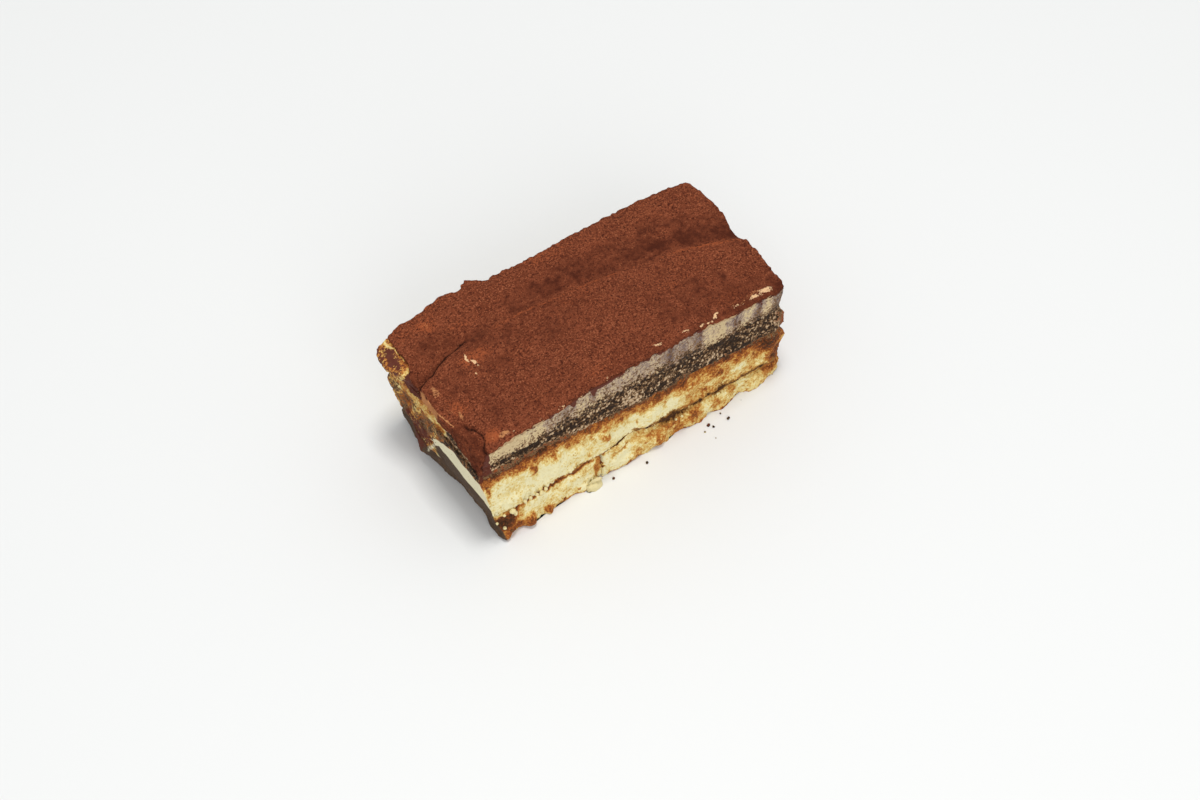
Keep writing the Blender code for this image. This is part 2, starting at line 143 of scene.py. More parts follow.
UPPER_BROWN = (
    (-43.6, 27.0, 1.9, 5.2, 0, 0.66), (-35.4, 28.0, 2.0, 3.8, 0, 0.58), (-27.5, 27.8, 4.4, 3.4, 0, 0.58),
    # The thin line at x -8.6 is painted shade along the crease beside it
    (-61.4, 31.0, 1.3, 9.0, 0, 0.70), (-20.0, 25.6, 1.5, 2.6, 0, 0.5), (-8.6, 20.6, 2.4, 0.5, -0.2, 0.44),
    (-1.0, 18.0, 0.6, 2.6, 0, 0.40), (-20.6, 19.0, 2.4, 0.5, 1.4, 0.36), (-52, 22, 6, 2, 0, 0.22),
    (-15.0, 21.6, 3.2, 2.1, -0.8, 0.58), (-8.4, 26.8, 4.2, 3.8, -0.1, 0.64), (1.5, 25.0, 2.8, 4.0, 0, 0.56),
    (6.5, 27.0, 5.0, 3.6, 0, 0.74), (18.0, 26.6, 5.0, 4.0, 0, 0.76), (28.0, 23.6, 5.4, 3.4, 0, 0.58),
    (31.0, 22.0, 2.4, 3.6, 0, 0.62), (36.0, 25.6, 4.0, 3.6, 0, 0.84), (43.0, 24.6, 5.0, 2.8, 0, 0.66),
    (48.4, 19.0, 2.4, 5.6, 0, 0.58), (54.6, 22.4, 8.0, 6.6, 0, 0.90), (57.6, 12.4, 5.4, 7.4, 0, 0.82),
    (10.0, 20.0, 1.2, 3.6, 0, 0.40), (23.4, 17.4, 3.0, 3.4, 0, 0.44), (47.0, 13.4, 5.0, 2.0, 0, 0.44),
)
UPPER_PALE = (
    (-38, 20.2, 8, 4.6, 0, 0.9), (-16.2, 27.0, 2.2, 2.0, 0, 1.0), (-8.0, 18.6, 6.5, 2.8, -0.5, 0.5),
    (11, 17.6, 7, 3.2, -0.1, 0.5), (30, 17.0, 4, 2.6, 0, 0.3), (41.6, 17.6, 3.2, 2.4, 0, 1.0),
)
LOWER_BROWN = (
    (-56.6, 8.2, 6.6, 4.8, 0, 0.92), (-54.0, 3.0, 7.4, 3.2, 0, 0.74), (-51.6, 11.6, 1.1, 2.0, 0, 0.85),
    (-49.7, 11.2, 1.9, 2.4, 0, 0.46), (-47.6, 2.6, 2.6, 3.8, 0, 0.70), (-39.6, 2.0, 2.2, 2.2, -0.2, 0.66),
    # The thin line at x -8.2 is painted shadow under the crease beside it
    (-18.6, 9.0, 2.8, 5.2, 2.6, 0.60), (-16.8, 13.0, 1.7, 1.4, 0, 0.80), (-8.2, 10.0, 5.6, 1.0, 0.04, 0.56),
    (-17.3, 8.0, 0.5, 6.0, 0, 0.95),
    (7.0, 3.4, 3.2, 3.6, -0.2, 0.58), (12.4, 7.4, 7.4, 3.0, -0.3, 0.60), (22.4, 6.0, 3.6, 4.4, 0, 0.62),
    (31.6, 4.6, 2.4, 3.4, 0, 0.54), (38.4, 5.6, 2.4, 3.4, 0, 0.50), (56.6, 7.4, 6.0, 6.6, 0, 0.74),
    (-24.0, 9.6, 4.0, 3.0, 0, 0.30), (49.0, 5.0, 6.0, 2.6, 0, 0.36),
)
LOWER_PALE = (
    (-44, 7.5, 4, 3.4, 0, 0.7), (-26, 6.0, 5, 4, 0, 0.6), (-15.2, 9.2, 1.2, 4.6, 0, 1.0),
    (-9, 5.4, 6, 3.0, 0, 1.0), (27.6, 4.6, 2.2, 3.4, 0, 0.9), (44, 4.8, 5.0, 1.8, 0, 0.9),
)
# Dark crust with painted shade in the hollow of the seam on the right half
SEAM_CRUST_AND_SHADE = (
    (2.0, 13.0, 5.5, 1.2, -0.36, 0.80), (13.0, 10.7, 9.0, 2.6, -0.14, 1.05),
    (27.0, 10.0, 9.0, 1.6, -0.04, 0.90), (34.0, 10.4, 2.8, 3.0, 0, 1.0), (46.0, 9.3, 12.5, 1.9, -0.06, 0.86),
)
# Lumps and flaps that stand out of the long cut face
UPPER_LUMPS = (
    (-15.0, 21.6, 2.6, 1.7, -0.8, 1.0), (-43.6, 25.6, 1.5, 2.2, 0, 0.5), (42, 17.4, 3, 2.2, 0, 0.4),
)
UPPER_CREASES = ((-9.0, 20.4, 3.2, 0.7, -0.3, 0.35), (-20.4, 21.0, 3.4, 0.9, 1.6, 0.4))
LOWER_LUMPS = (
    (-47.6, 2.0, 2.2, 2.6, 0, 1.9), (-49.9, 11.2, 1.8, 2.0, 0, 0.8), (-39.6, 1.2, 1.7, 2.0, 0, 1.5),
    (-57.8, 1.6, 1.8, 2.2, 0, 1.2), (-25.0, 2.0, 3.4, 2.4, 0, 0.9),
    (7.0, 3.4, 2.3, 2.4, 0, 0.8), (22.4, 6.2, 2.8, 3.2, 0, 0.5), (-14.9, 9.2, 1.3, 5.0, 0, 1.0),
)
LOWER_CREASES = (
    (-8.2, 9.6, 5.0, 0.7, 0.04, 0.7), (-52.0, -1.0, 3.2, 7.0, 0, 0.6), (-43.4, -1.0, 2.8, 6.0, 0, 0.5),
    (-33.0, -1.0, 6.0, 6.0, 0, 0.4), (14.0, -1.0, 3.6, 6.0, 0, 0.5), (42.0, -1.0, 5.0, 6.0, 0, 0.5),
)
# Pale scallops of crumb that hang over the seam: where they start and end along X, how wide each is, and how
# far they stand out
SCALLOPED = (-52, -36)
SCALLOP_WIDTH = 2.7
SCALLOP_HEIGHT = 0.9

# Smooth pale strip of the left end: where it starts along Y, and its top and its foot by y
IVORY_START_Y = 5.5
IVORY_TOP = ((-29, 33.0), (-22, 33.3), (-15, 33.8), (-10, 33.0), (-5, 31.2), (0, 27.2), (5, 22.0))
IVORY_FOOT = ((-29.5, 16.0), (-26, 21.8), (-20, 24.8), (-10, 25.2), (-5, 24.6), (0, 22.4), (5, 19.6))
# Torn half of the left end: where it begins along X, and along Y by height, and its patches by y and height
TORN_X = -56
TORN_START = ((14, 0.0), (24, 2.0), (28, -1.0), (34, -9.0))
TORN_PALE = (
    (6, 37.5, 4, 2.2, 0, 0.35), (14, 31, 1.3, 5, -1.6, 0.32), (1.0, 24, 1.0, 6, -2.4, 0.42),
    (22, 33, 2.4, 3, 0, 0.2),
)
TORN_DARK = (
    (-3, 34, 3, 5, -1.2, 0.30), (10, 23, 6, 6, -1.0, 0.42), (4.5, 31, 2, 3, -1.5, 0.26),
    (20, 22, 4, 6, -1, 0.34),
)
# The lump that curls out of the left end's foot: y of its rim by height, its top and its back
CURLED_RIM = ((0, 13.5), (13.3, 6.6), (24.3, 1.5))
CURLED_TOP = 25.0
CURLED_BACK_Y = 21.0

# Bare, smeared, rusty and raised places of the top, by x and y
SCRATCHES = (
    (-44.9, 7.6, 0.6, 2.4, 0, 0.80), (-43.6, 5.0, 0.5, 2.4, -0.3, 0.72), (-45.6, 1.0, 0.45, 1.0, 0, 0.75),
)
EDGE_BITS = (
    (9.2, -24.8, 2.6, 0.7, -0.15, 0.74), (20.2, -26.0, 1.5, 0.8, 0, 0.62), (27.4, -26.8, 4.4, 0.5, 0, 0.66),
    (32.6, -25.7, 1.7, 0.8, 0.5, 0.82), (41.4, -26.2, 3.0, 0.7, -0.1, 0.56), (48.6, -26.4, 2.6, 1.0, 0, 0.72),
    (53.6, -26.2, 3.4, 1.2, -0.05, 0.84), (-49.8, -25.0, 2.6, 0.5, -0.1, 0.6), (-22, -26.6, 2.2, 0.5, 0, 0.5),
    (-39.0, -26.2, 1.6, 0.5, -0.1, 0.6), (-31.0, -26.4, 2.2, 0.4, 0, 0.55),
    (-12.6, -26.4, 1.4, 0.6, 0.2, 0.6),
)
SMEARED_PATCHES = (
    (-60.4, 3.4, 1.3, 3.0, 0, 0.56), (-58.4, -9.2, 1.0, 3.0, 0.9, 0.66), (-51.6, -23.8, 2.2, 1.2, -0.2, 0.80),
    (-55.4, -22.4, 1.4, 1.2, 0, 0.5), (-57.4, 4.6, 1.6, 0.8, 0, 0.42), (-48.2, 27.6, 2.2, 1.6, 0, 0.36),
    (-60.6, -6.0, 0.9, 2.4, 0, 0.40), (-36.4, -25.6, 1.6, 0.6, 0, 0.4), (42.0, -25.6, 3.6, 0.9, 0, 0.5),
    (50.0, -25.2, 6.0, 0.9, 0, 0.5), (20.0, -25.0, 2.4, 0.8, 0, 0.4),
)
RUSTY_PATCHES = (
    (-54.8, -22.0, 3.2, 2.4, 0, 0.8), (-48, 27, 4, 3, 0, 0.5), (-42, 7, 7, 3.6, 0, 0.45),
    (-32, -19, 12, 3, -0.1, 0.3), (-10, -22, 14, 2.6, 0, 0.3), (-58, -2, 2.6, 9, 0, 0.35),
    (20, -20, 16, 3, 0, 0.2),
)
RAISED_LUMPS = (
    (-54.8, -22.5, 1.9, 1.4, 0, 0.9), (-51.6, -23.8, 1.8, 1.1, 0, 0.7), (-60.2, 3.4, 1.4, 1.8, 0, 0.3),
)
# How far a flake stands out of the back edge by x, and x of the crack across the near corner by y
BACK_EDGE = ((-46, 0), (-42, 0.9), (-38, 1.0), (-33, 0.3), (-30.6, -0.9), (-29, 0), (-25.4, 0.9), (-24, 0))
CORNER_CRACK = ((-28, -60.8), (-24, -59.4), (-19, -57.2), (-14, -59.2), (-11, -60.6))

# The cocoa that hangs down over the left end: where it begins along X, and its foot by y
FLAP_X = -58
FLAP_FOOT = (
    (-29, 31), (-26, 39.5), (-22, 42.4), (-9, 44.2), (2, 43.6), (6, 42.0), (10, 39.0), (15, 37.6), (20, 40.0),
)

# Bare tongue at the back of the left end: where its faces start, where its colours start along X and Y and
# in height, the broken cream line beside the cocoa as x by y, and its lens of cocoa
TONGUE_X = -54
TONGUE_Y = 9
TONGUE_LOOKS = (-57, 15, 43.0)
TONGUE_LINE = ((12, -59.6), (16, -59.4), (20, -59.8), (23, -59.8), (25, -60.2), (29, -62.0))
TONGUE_LENS = ((-63.9, 24.8, 2.0, 5.4, 0, 1.0),)

# Loose crumbs: place along X, height on the cut face and radius, or place on the ground and radius
CREAM_CRUMBS = (
    (-60.4, 10.8, 0.6), (-57.4, 13.0, 0.6), (-53.9, 12.6, 1.1), (-53.0, 10.8, 0.9), (-57.8, 6.4, 0.7),
    (-48.8, 13.8, 0.9), (-46.6, 14.0, 0.8), (-44.0, 13.8, 0.7), (-42.2, 13.3, 1.0), (-40.3, 13.9, 0.8),
    (14.0, 9.6, 0.5), (16.4, 9.4, 0.45), (-13.4, 19.8, 0.5),
)
DARK_CRUMBS = (
    (25.6, -34.4, 0.55), (26.6, -36.0, 0.38), (32.8, -36.2, 0.58), (-1.1, -34.5, 0.42), (-14.3, -33.0, 0.44),
    (32.0, -32.8, 0.38), (23.0, -35.9, 0.28), (24.5, -40.1, 0.25), (41.4, -32.5, 0.24),
)

# Sizes of the noise patterns of each surface: its grain, its fine and its coarse unevenness, and patches
COCOA_PATTERNS = (0.5, 0.9, 2.2, 10.0)
CREAM_PATTERNS = (0.5, 0.9, 2.4)
SPONGE_PATTERNS = (0.5, 0.9, 2.2)
FINGER_PATTERNS = (0.5, 0.9, 2.4)


def linear(hex_colour):
    """An sRGB hex colour as linear red, green, blue and alpha."""
    parts = [int(hex_colour[i:i + 2], 16) / 255 for i in (1, 3, 5)]
    return (*[p / 12.92 if p <= 0.04045 else ((p + 0.055) / 1.055) ** 2.4 for p in parts], 1.0)


def per_metre(size_mm):
    """Texture scale whose pattern repeats about once in that many millimetres."""
    return 1.0 / (size_mm * MM)


def along(places, points):
    """Values at many places on a line through a few (place, value) points."""
    stations, values = zip(*points)
    return np.interp(places, stations, values)


def level_of(points, lines):
    """Height of a layer's face over many points, from its lines at the front and at the back."""
    share = np.clip((points[:, 1] - FRONT_Y) / (BACK_Y - FRONT_Y), 0, 1)
    return along(points[:, 0], lines[0]) * (1 - share) + along(points[:, 0], lines[1]) * share


def front_face_y(x, z):
    """Where the leaning front cut face lies."""
    edge = along(x, FRONT_EDGE_Y)
    return FRONT_BASE_Y + (edge - FRONT_BASE_Y) * z / TOP_HEIGHT


def smooth(values):
    """Ease from 0 to 1."""
    values = np.clip(values, 0.0, 1.0)
    return values * values * (3 - 2 * values)


def hump(distance, reach):
    """A soft bump that is 1 at its middle."""
    return np.exp(-((distance / reach) ** 2))


def stretch(places, start, end, fade):
    """1 between two places, fading to 0 outside them."""
    return smooth((places - start) / fade + 0.5) * smooth((end - places) / fade + 0.5)


def drawn(cell, seed):
    """A steady random number from 0 to 1 for each whole-numbered cell."""
    # Large odd numbers stir the bits of the cell's place and of the seed
    x, y, z = (cell[..., axis].astype(np.int64) for axis in range(3))
    mixed = (x * 73856093) ^ (y * 19349663) ^ (z * 83492791) ^ (seed * 961748927)
    mixed = (mixed ^ (mixed >> 13)) * 1274126177
    mixed = (mixed ^ (mixed >> 16)) * 668265263
    return ((mixed ^ (mixed >> 15)) & 0xFFFFFF) / 0xFFFFFF


def lumps(points, size, seed=0):
    """Smooth seeded unevenness from -1 to 1, with lumps of about that size."""
    place = points / size
    cell = np.floor(place)
    share = smooth(place - cell)
    total = np.zeros(len(points))
    for corner in itertools.product((0, 1), repeat=3):
        weight = np.prod(np.where(corner, share, 1 - share), axis=1)
        total += weight * drawn(cell + corner, seed)
    return 2 * total - 1


def crumble(points, size, seed=0, octaves=3):
    """Lumps with smaller lumps on them."""
    return sum(lumps(points, size / 2**k, seed + k) / 1.7**k for k in range(octaves))


def stirred(points, amount, size, seed):
    """The points shifted about by lumps, so that what is drawn at them gets ragged edges."""
    shifts = [crumble(points, size, seed + 10 * axis, 2) for axis in range(3)]
    return points + amount * np.stack(shifts, axis=1)


def nearest_grain(points, size, seed=0):
    """The nearest of many seeded grains about one size apart: how far off, in sizes, and its own number."""
    place = points / size
    cell = np.floor(place)
    nearest = np.full(len(points), 9.0)
    number = np.zeros(len(points))
    for step in itertools.product((-1, 0, 1), repeat=3):
        there = cell + step
        middle = there + np.stack([drawn(there, seed + axis) for axis in range(3)], axis=1)
        distance = np.linalg.norm(place - middle, axis=1)
        closer = distance < nearest
        nearest = np.where(closer, distance, nearest)
        number = np.where(closer, drawn(there, seed + 7), number)
    return nearest, number


def pores(points, size, seed, width=0.4):
    """Round holes of a crumb: 1 in a hole, 0 outside."""
    distance, _ = nearest_grain(points, size, seed)
    return smooth((width - distance) / (0.7 * width))


def patches(points, listed, axes=(0, 2)):
    """Strength of the patches on a face, the strongest one where they meet.

    Each is its place along the face and up it, its reach both ways, its rise along the face and its strength.
    """
    strongest = np.zeros(len(points))
    for place, level, reach, rise, tilt, strength in listed:
        ahead = points[:, axes[0]] - place
        above = points[:, axes[1]] - level - tilt * ahead
        apart = (ahead / reach) ** 2 + (above / rise) ** 2
        strongest = np.maximum(strongest, strength * np.exp(-(apart**1.5)))
    return strongest


# Materials


def add_node(tree, kind, inputs=None, **settings):
    """Add a shader node with its settings; an input takes a value or a link from another node's socket."""
    node = tree.nodes.new(kind)
    for name, value in settings.items():
        setattr(node, name, value)
    for name, value in (inputs or {}).items():
        if isinstance(value, bpy.types.NodeSocket):
            tree.links.new(value, node.inputs[name])
        else:
            node.inputs[name].default_value = value
    return node


def laid_over(tree, ground, layers):
    """Lay colours over a ground colour in turn, each where its pattern rises from one level to another."""
    for colour, pattern, low, high in layers:
        share = add_node(
            tree, "ShaderNodeMapRange", {"Value": pattern, "From Min": low, "From Max": high},
            interpolation_type="SMOOTHSTEP",
        )
        # A colour Mix node has its share at socket 0, its two colours at 6 and 7, and its result at 2
        inputs = {0: share.outputs["Result"], 6: ground, 7: linear(colour)}
        ground = add_node(tree, "ShaderNodeMix", inputs, data_type="RGBA").outputs[2]
    return ground


def ragged(tree, mark, swings):
    """A mark's attribute stirred by patterns, each with its own swing about its middle."""
    value = add_node(tree, "ShaderNodeAttribute", attribute_name=mark).outputs["Fac"]
    for pattern, swing in swings:
        level = add_node(tree, "ShaderNodeMath", {0: pattern, 1: 0.5}, operation="SUBTRACT").outputs[0]
        stir = add_node(tree, "ShaderNodeMath", {0: level, 1: swing, 2: value}, operation="MULTIPLY_ADD")
        value = stir.outputs[0]
    return value


def new_surface(name, *sizes):
    """A new material with a noise pattern for each size in millimetres, on the object's own coordinates."""
    material = bpy.data.materials.new(name)
    material.use_nodes = True
    tree = material.node_tree
    place = add_node(tree, "ShaderNodeTexCoord").outputs["Object"]
    patterns = []
    for size in sizes:
        inputs = {"Vector": place, "Scale": per_metre(size), "Detail": 3.0, "Roughness": 0.6}
        patterns.append(add_node(tree, "ShaderNodeTexNoise", inputs).outputs["Fac"])
    return material, tree, tree.nodes["Principled BSDF"], patterns


def finish_surface(tree, shader, colour, bumps, roughness, specular):
    """Join colour and bumps to the shader; bumps are (pattern, height in mm) pairs."""
    normal = None
    for pattern, height in bumps:
        inputs = {"Height": pattern, "Distance": height * MM, "Strength": 1.0}
        if normal:
            inputs["Normal"] = normal
        normal = add_node(tree, "ShaderNodeBump", inputs).outputs["Normal"]
    tree.links.new(normal, shader.inputs["Normal"])
    tree.links.new(colour, shader.inputs["Base Color"])
    shader.inputs["Roughness"].default_value = roughness
    shader.inputs["Specular IOR Level"].default_value = specular


def cocoa_powder():
    """Alkalised cocoa powder, sieved over damp cream."""
    # Dry powder scatters light evenly: a matt, grainy red brown, darker where it has drawn up moisture.
    # Shade in the valley behind the front strip's crest, and a highlight along that crest, are painted in.
    # Its grains of 0.05 mm are drawn ten times as coarse, as clumps, to show at all.
    material, tree, shader, patterns = new_surface("sieved_cocoa_powder", *COCOA_PATTERNS)
    grain, fine, coarse, patch = patterns
    # Redder patches of the powder, and a painted highlight along the front strip's crest
    rusty_and_highlight = ragged(tree, "rusty_and_highlight", ((grain, 1.4), (fine, 1.2), (coarse, 1.0)))
    # Darker where the powder has drawn up moisture, and painted shade in the valley behind the front strip's
    # crest
    moist_and_shaded = ragged(tree, "moist_and_shaded", ((grain, 1.2), (fine, 1.0), (coarse, 1.2)))
    colour = laid_over(tree, linear("#6a3521"), [
        ("#753c26", patch, 0.40, 0.65),
        ("#5c2c1c", coarse, 0.50, 0.70),
        ("#864830", fine, 0.53, 0.66),
        ("#4a2216", fine, 0.46, 0.32),
        ("#9a5a3c", grain, 0.55, 0.65),
        ("#3a1810", grain, 0.45, 0.33),
        ("#482115", moist_and_shaded, 0.30, 1.0),
        ("#9a502f", rusty_and_highlight, 0.35, 1.05),
        ("#b67c50", ragged(tree, "smeared", ((grain, 1.2), (fine, 1.2), (coarse, 0.9))), 0.26, 0.84),
        ("#dab286", ragged(tree, "bare", ((grain, 1.2), (fine, 1.5), (coarse, 0.8))), 0.34, 0.68),
        ("#b89a74", ragged(tree, "cream", ((fine, 0.8),)), 0.40, 0.60),
        # Painted shadow, nearly black, in the open cracks of the top
        ("#2c150e", ragged(tree, "crack_shadow", ((grain, 0.7), (fine, 0.7))), 0.35, 0.70),
    ])
    bumps = ((coarse, 0.25), (fine, 0.25), (grain, 0.15))
    finish_surface(tree, shader, colour, bumps, roughness=0.95, specular=0.06)
    return material


def coffee_grains(tree, grain, fine, coarse):
    """Layers of colour where dark coffee fills the room between grains, from a thin stain to nearly black."""
    fill = ragged(tree, "fill", ((grain, 1.2), (fine, 1.5), (coarse, 0.7)))
    return [("#8e6c4a", fill, 0.30, 0.40), ("#5c4128", fill, 0.44, 0.52), ("#2a1b0f", fill, 0.60, 0.74)]


def browned(tree, grain, fine, coarse):
    """Layers of colour of sponge that coffee or the oven has browned, from straw to nearly black."""
    brown = ragged(tree, "browning", ((grain, 0.6), (fine, 0.85), (coarse, 0.6)))
    return [
        ("#e4d08e", brown, 0.02, 0.20), ("#d0a85c", brown, 0.18, 0.38), ("#b4702e", brown, 0.36, 0.54),
        ("#84451e", brown, 0.53, 0.70), ("#502e18", brown, 0.70, 0.86), ("#2c1b10", brown, 0.88, 1.06),
    ]


def dusted(tree, grain, fine, coarse, swing=1.0):
    """Layer of colour where cocoa has fallen or been dragged over a cut layer."""
    cocoa = ragged(tree, "cocoa", ((grain, 0.8), (fine, swing), (coarse, 0.8)))
    return "#5c2c1e", cocoa, 0.38, 0.62


def mascarpone():
    """Mascarpone whipped with egg yolk, cut by a knife that dragged cocoa and coffee through it."""
    # Fat and air give a soft, slightly moist sheen, and dragged cocoa leaves a fine purplish grey grain on it.
    material, tree, shader, patterns = new_surface("whipped_mascarpone", *CREAM_PATTERNS)
    grain, fine, coarse = patterns
    smear = ragged(tree, "smear", ((grain, 1.6), (fine, 1.8), (coarse, 0.8)))
    colour = laid_over(tree, linear("#cbb389"), [
        ("#d8c496", coarse, 0.50, 0.66),
        ("#b0946e", fine, 0.54, 0.66),
        ("#ac957f", smear, 0.20, 0.42),
        ("#867268", smear, 0.50, 0.70),
        ("#5a4644", smear, 0.82, 1.02),
        *coffee_grains(tree, *patterns),
        *browned(tree, *patterns),
        ("#dccd9a", ragged(tree, "clean", ((fine, 0.8), (coarse, 0.8))), 0.35, 0.75),
        dusted(tree, *patterns, swing=1.2),
    ])
    bumps = ((coarse, 0.2), (fine, 0.22), (grain, 0.12))
    finish_surface(tree, shader, colour, bumps, roughness=0.65, specular=0.18)
    return material


def coffee_sponge():
    """Sponge soaked with espresso and cut."""
    # The open crumb holds dark wet coffee in its pores, while the walls between them stay pale and damp.
    material, tree, shader, patterns = new_surface("espresso_soaked_sponge", *SPONGE_PATTERNS)
    grain, fine, coarse = patterns
    colour = laid_over(tree, linear("#c4a886"), [
        ("#e0ccb0", grain, 0.52, 0.62),
        ("#86421c", ragged(tree, "stain", ((grain, 0.8), (fine, 1.2), (coarse, 1.0))), 0.30, 0.62),
        *coffee_grains(tree, *patterns),
        *browned(tree, *patterns),
        dusted(tree, *patterns),
    ])
    bumps = ((coarse, 0.25), (fine, 0.3), (grain, 0.15))
    finish_surface(tree, shader, colour, bumps, roughness=0.7, specular=0.14)
    return material


def ladyfinger(name):
    """Ladyfinger sponge, torn and cut."""
    # A dry open crumb: pale straw walls round small pores, brown and damp where coffee or heat got in.
    # Dark crust with painted shade covers its undercut left end and the hollows of its seam.
    material, tree, shader, patterns = new_surface(name, *FINGER_PATTERNS)
    grain, fine, coarse = patterns
    hollow = ragged(tree, "hollow", ((grain, 0.8), (fine, 1.2), (coarse, 0.8)))
    colour = laid_over(tree, linear("#ebe1b4"), [
        *browned(tree, *patterns),
        *coffee_grains(tree, *patterns),
        # Painted shade over dark crust on the undercut left end
        ("#4f3d2f", ragged(tree, "damp", ((fine, 0.5), (coarse, 0.7))), 0.20, 0.90),
        # The smooth pale strip of the left end, and a painted highlight on the curled lump's wet rim
        ("#e3dab8", ragged(tree, "ivory", ((fine, 0.4),)), 0.25, 0.75),
        # Dark coffee crust with painted shade in the hollows of the seam and in front of the curled lump
        ("#9a6c34", hollow, 0.20, 0.45),
        ("#46280f", hollow, 0.50, 0.80),
        dusted(tree, *patterns),
    ])
    bumps = ((coarse, 0.28), (fine, 0.28), (grain, 0.15))
    finish_surface(tree, shader, colour, bumps, roughness=0.8, specular=0.14)
    return material


# Meshes


def fine_copy(node, shows, cuts):
    """A merged copy of a node's mesh, with its shown faces cut finely and marked by material index 1."""
    bm = bmesh.new()
    bm.from_mesh(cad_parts[node].data)
    bmesh.ops.remove_doubles(bm, verts=bm.verts, dist=SAME_POINT * MM)
    bm.normal_update()
    for face in bm.faces:
        centre = Vector(face.calc_center_median() / MM) - Vector(SLICE_MIDDLE)
        face.material_index = int(shows(face.normal, centre))
    edges = {edge for face in bm.faces if face.material_index for edge in face.edges}
    bmesh.ops.subdivide_edges(bm, edges=list(edges), cuts=cuts, use_grid_fill=True)
    bmesh.ops.triangulate(bm, faces=[face for face in bm.faces if len(face.verts) > 4])
    return bm


def read_list(items, name, kind, width):
    """One value, or a row of values, of every item of a mesh."""
    values = np.zeros(len(items) * width, kind)
    items.foreach_get(name, values)
    return values.reshape(-1, width) if width > 1 else values


def gathered(count, where, values):
    """Sum of many three-part values at the points that they belong to."""
    return np.stack([np.bincount(where, values[:, axis], count) for axis in range(3)], axis=1)


def unit(vectors):
    """Vectors of length 1, and of length 0 where there is none."""
    return vectors / np.maximum(np.linalg.norm(vectors, axis=1), 1e-9)[:, None]


def rim_corners(points, ends, lines):
    """Points where a rim turns sharply, or where several rims meet."""
    on_rim = lines[ends[:, 0]] & lines[ends[:, 1]]
    starts = ends[on_rim, 0]
    ways = unit(points[ends[on_rim, 1]] - points[starts])
    count = np.bincount(starts, minlength=len(points))
    # Two opposite ways cancel out on a straight rim
    left_over = np.linalg.norm(gathered(len(points), starts, ways), axis=1)
    sharp = left_over > np.sqrt(2 - 2 * SHARP_TURN)
    return lines & ((count > 2) | sharp)


def relaxed(points, edges, held, lines):
    """Let points settle between their neighbours, which takes the facets out of a form.

    Held points and the corners of rims stay, and the other points of a rim settle along it for fewer rounds.
    """
    ends = np.concatenate([edges, edges[:, ::-1]])
    free = ~held & ~rim_corners(points, ends, lines)
    ends = ends[~lines[ends[:, 0]] | lines[ends[:, 1]]]
    degree = np.bincount(ends[:, 0], minlength=len(points))
    free &= degree > 1
    degree = np.maximum(degree, 1)[:, None]
    for rounds, moving in ((RIM_ROUNDS, free), (SURFACE_ROUNDS - RIM_ROUNDS, free & ~lines)):
        for _ in range(rounds):
            middle = gathered(len(points), ends[:, 0], points[ends[:, 1]]) / degree
            points = np.where(moving[:, None], (points + middle) / 2, points)
    return points


def shape_mesh(mesh, relief, marks, closing, settling=True):
    """Settle a finely cut mesh, write its colour zones as attributes and move its points by its relief."""
    points = read_list(mesh.vertices, "co", float, 3) / MM - SLICE_MIDDLE
    edges = read_list(mesh.edges, "vertices", int, 2)
    corners = read_list(mesh.loops, "vertex_index", int, 1)
    sides = read_list(mesh.polygons, "loop_total", int, 1)
    shown = np.repeat(read_list(mesh.polygons, "material_index", int, 1) > 0, sides)
    normals = np.repeat(read_list(mesh.polygons, "normal", float, 3), sides, axis=0)
    count = len(points)
    outward = gathered(count, corners[shown], normals[shown])
    hidden = gathered(count, corners[~shown], normals[~shown])
    shown_count = np.bincount(corners[shown], minlength=count)
    hidden_count = np.bincount(corners[~shown], minlength=count)
    lines = np.linalg.norm(outward, axis=1) < SHARP_NORMAL * shown_count
    lines |= (shown_count > 0) & (hidden_count > 0)
    if settling:
        points = relaxed(points, edges, shown_count == 0, lines)
    outward = unit(outward)
    on_ground = points[:, 2] < ON_GROUND
    zones = marks(points, outward)
    points = points + outward * relief(points, outward)[:, None]
    points = points + unit(hidden) * (closing * (hidden_count > 0))[:, None]
    points[:, 2] = np.where(on_ground, 0.0, np.maximum(points[:, 2], 0.0))
    mesh.vertices.foreach_set("co", ((points + SLICE_MIDDLE) * MM).astype(np.float32).ravel())
    for mark, values in zones.items():
        mesh.attributes.new(mark, "FLOAT", "POINT").data.foreach_set("value", values.astype(np.float32))
    mesh.polygons.foreach_set("material_index", np.zeros(len(mesh.polygons), int))


def add_piece(name, mesh, material):
    """Link a finished mesh as a piece of the slice."""
    mesh.materials.clear()
    mesh.materials.append(material)
    mesh.update()
    mesh.shade_smooth()
    piece = bpy.data.objects.new(name, mesh)
    bpy.context.collection.objects.link(piece)
    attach(piece, "root")
    return piece


def dress(node, name, material, shows, relief, marks, closing=CLOSING, cuts=FINE_CUTS):
    """Build the fine piece that stands for a node.

    relief gives how far each point moves outwards, marks gives the colour zones, and closing is how far the
    hidden faces swell to close the gap to their neighbours.
    """
    bm = fine_copy(node, shows, cuts)
    mesh = bpy.data.meshes.new(name)
    bm.to_mesh(mesh)
    bm.free()
    shape_mesh(mesh, relief, marks, closing)
    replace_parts(add_piece(name, mesh, material), node)


def wall(normal, centre):
    """Faces of a layer that show: its sides."""
    return abs(normal.z) < SIDE_LEAN


def finger_wall(normal, centre):
    """Sides of a lower finger, without the end that meets the other finger."""
    at_joint = abs(normal.x) > 0.9 and abs(centre.x - JOINT_X) < 3
    return abs(normal.z) < SIDE_LEAN and not at_joint


def outer_skin(normal, centre):
    """Faces of the cocoa skin that show: all but its underside."""
    return normal.z > -0.5 and not (normal.x > 0.5 and centre.x < 0)


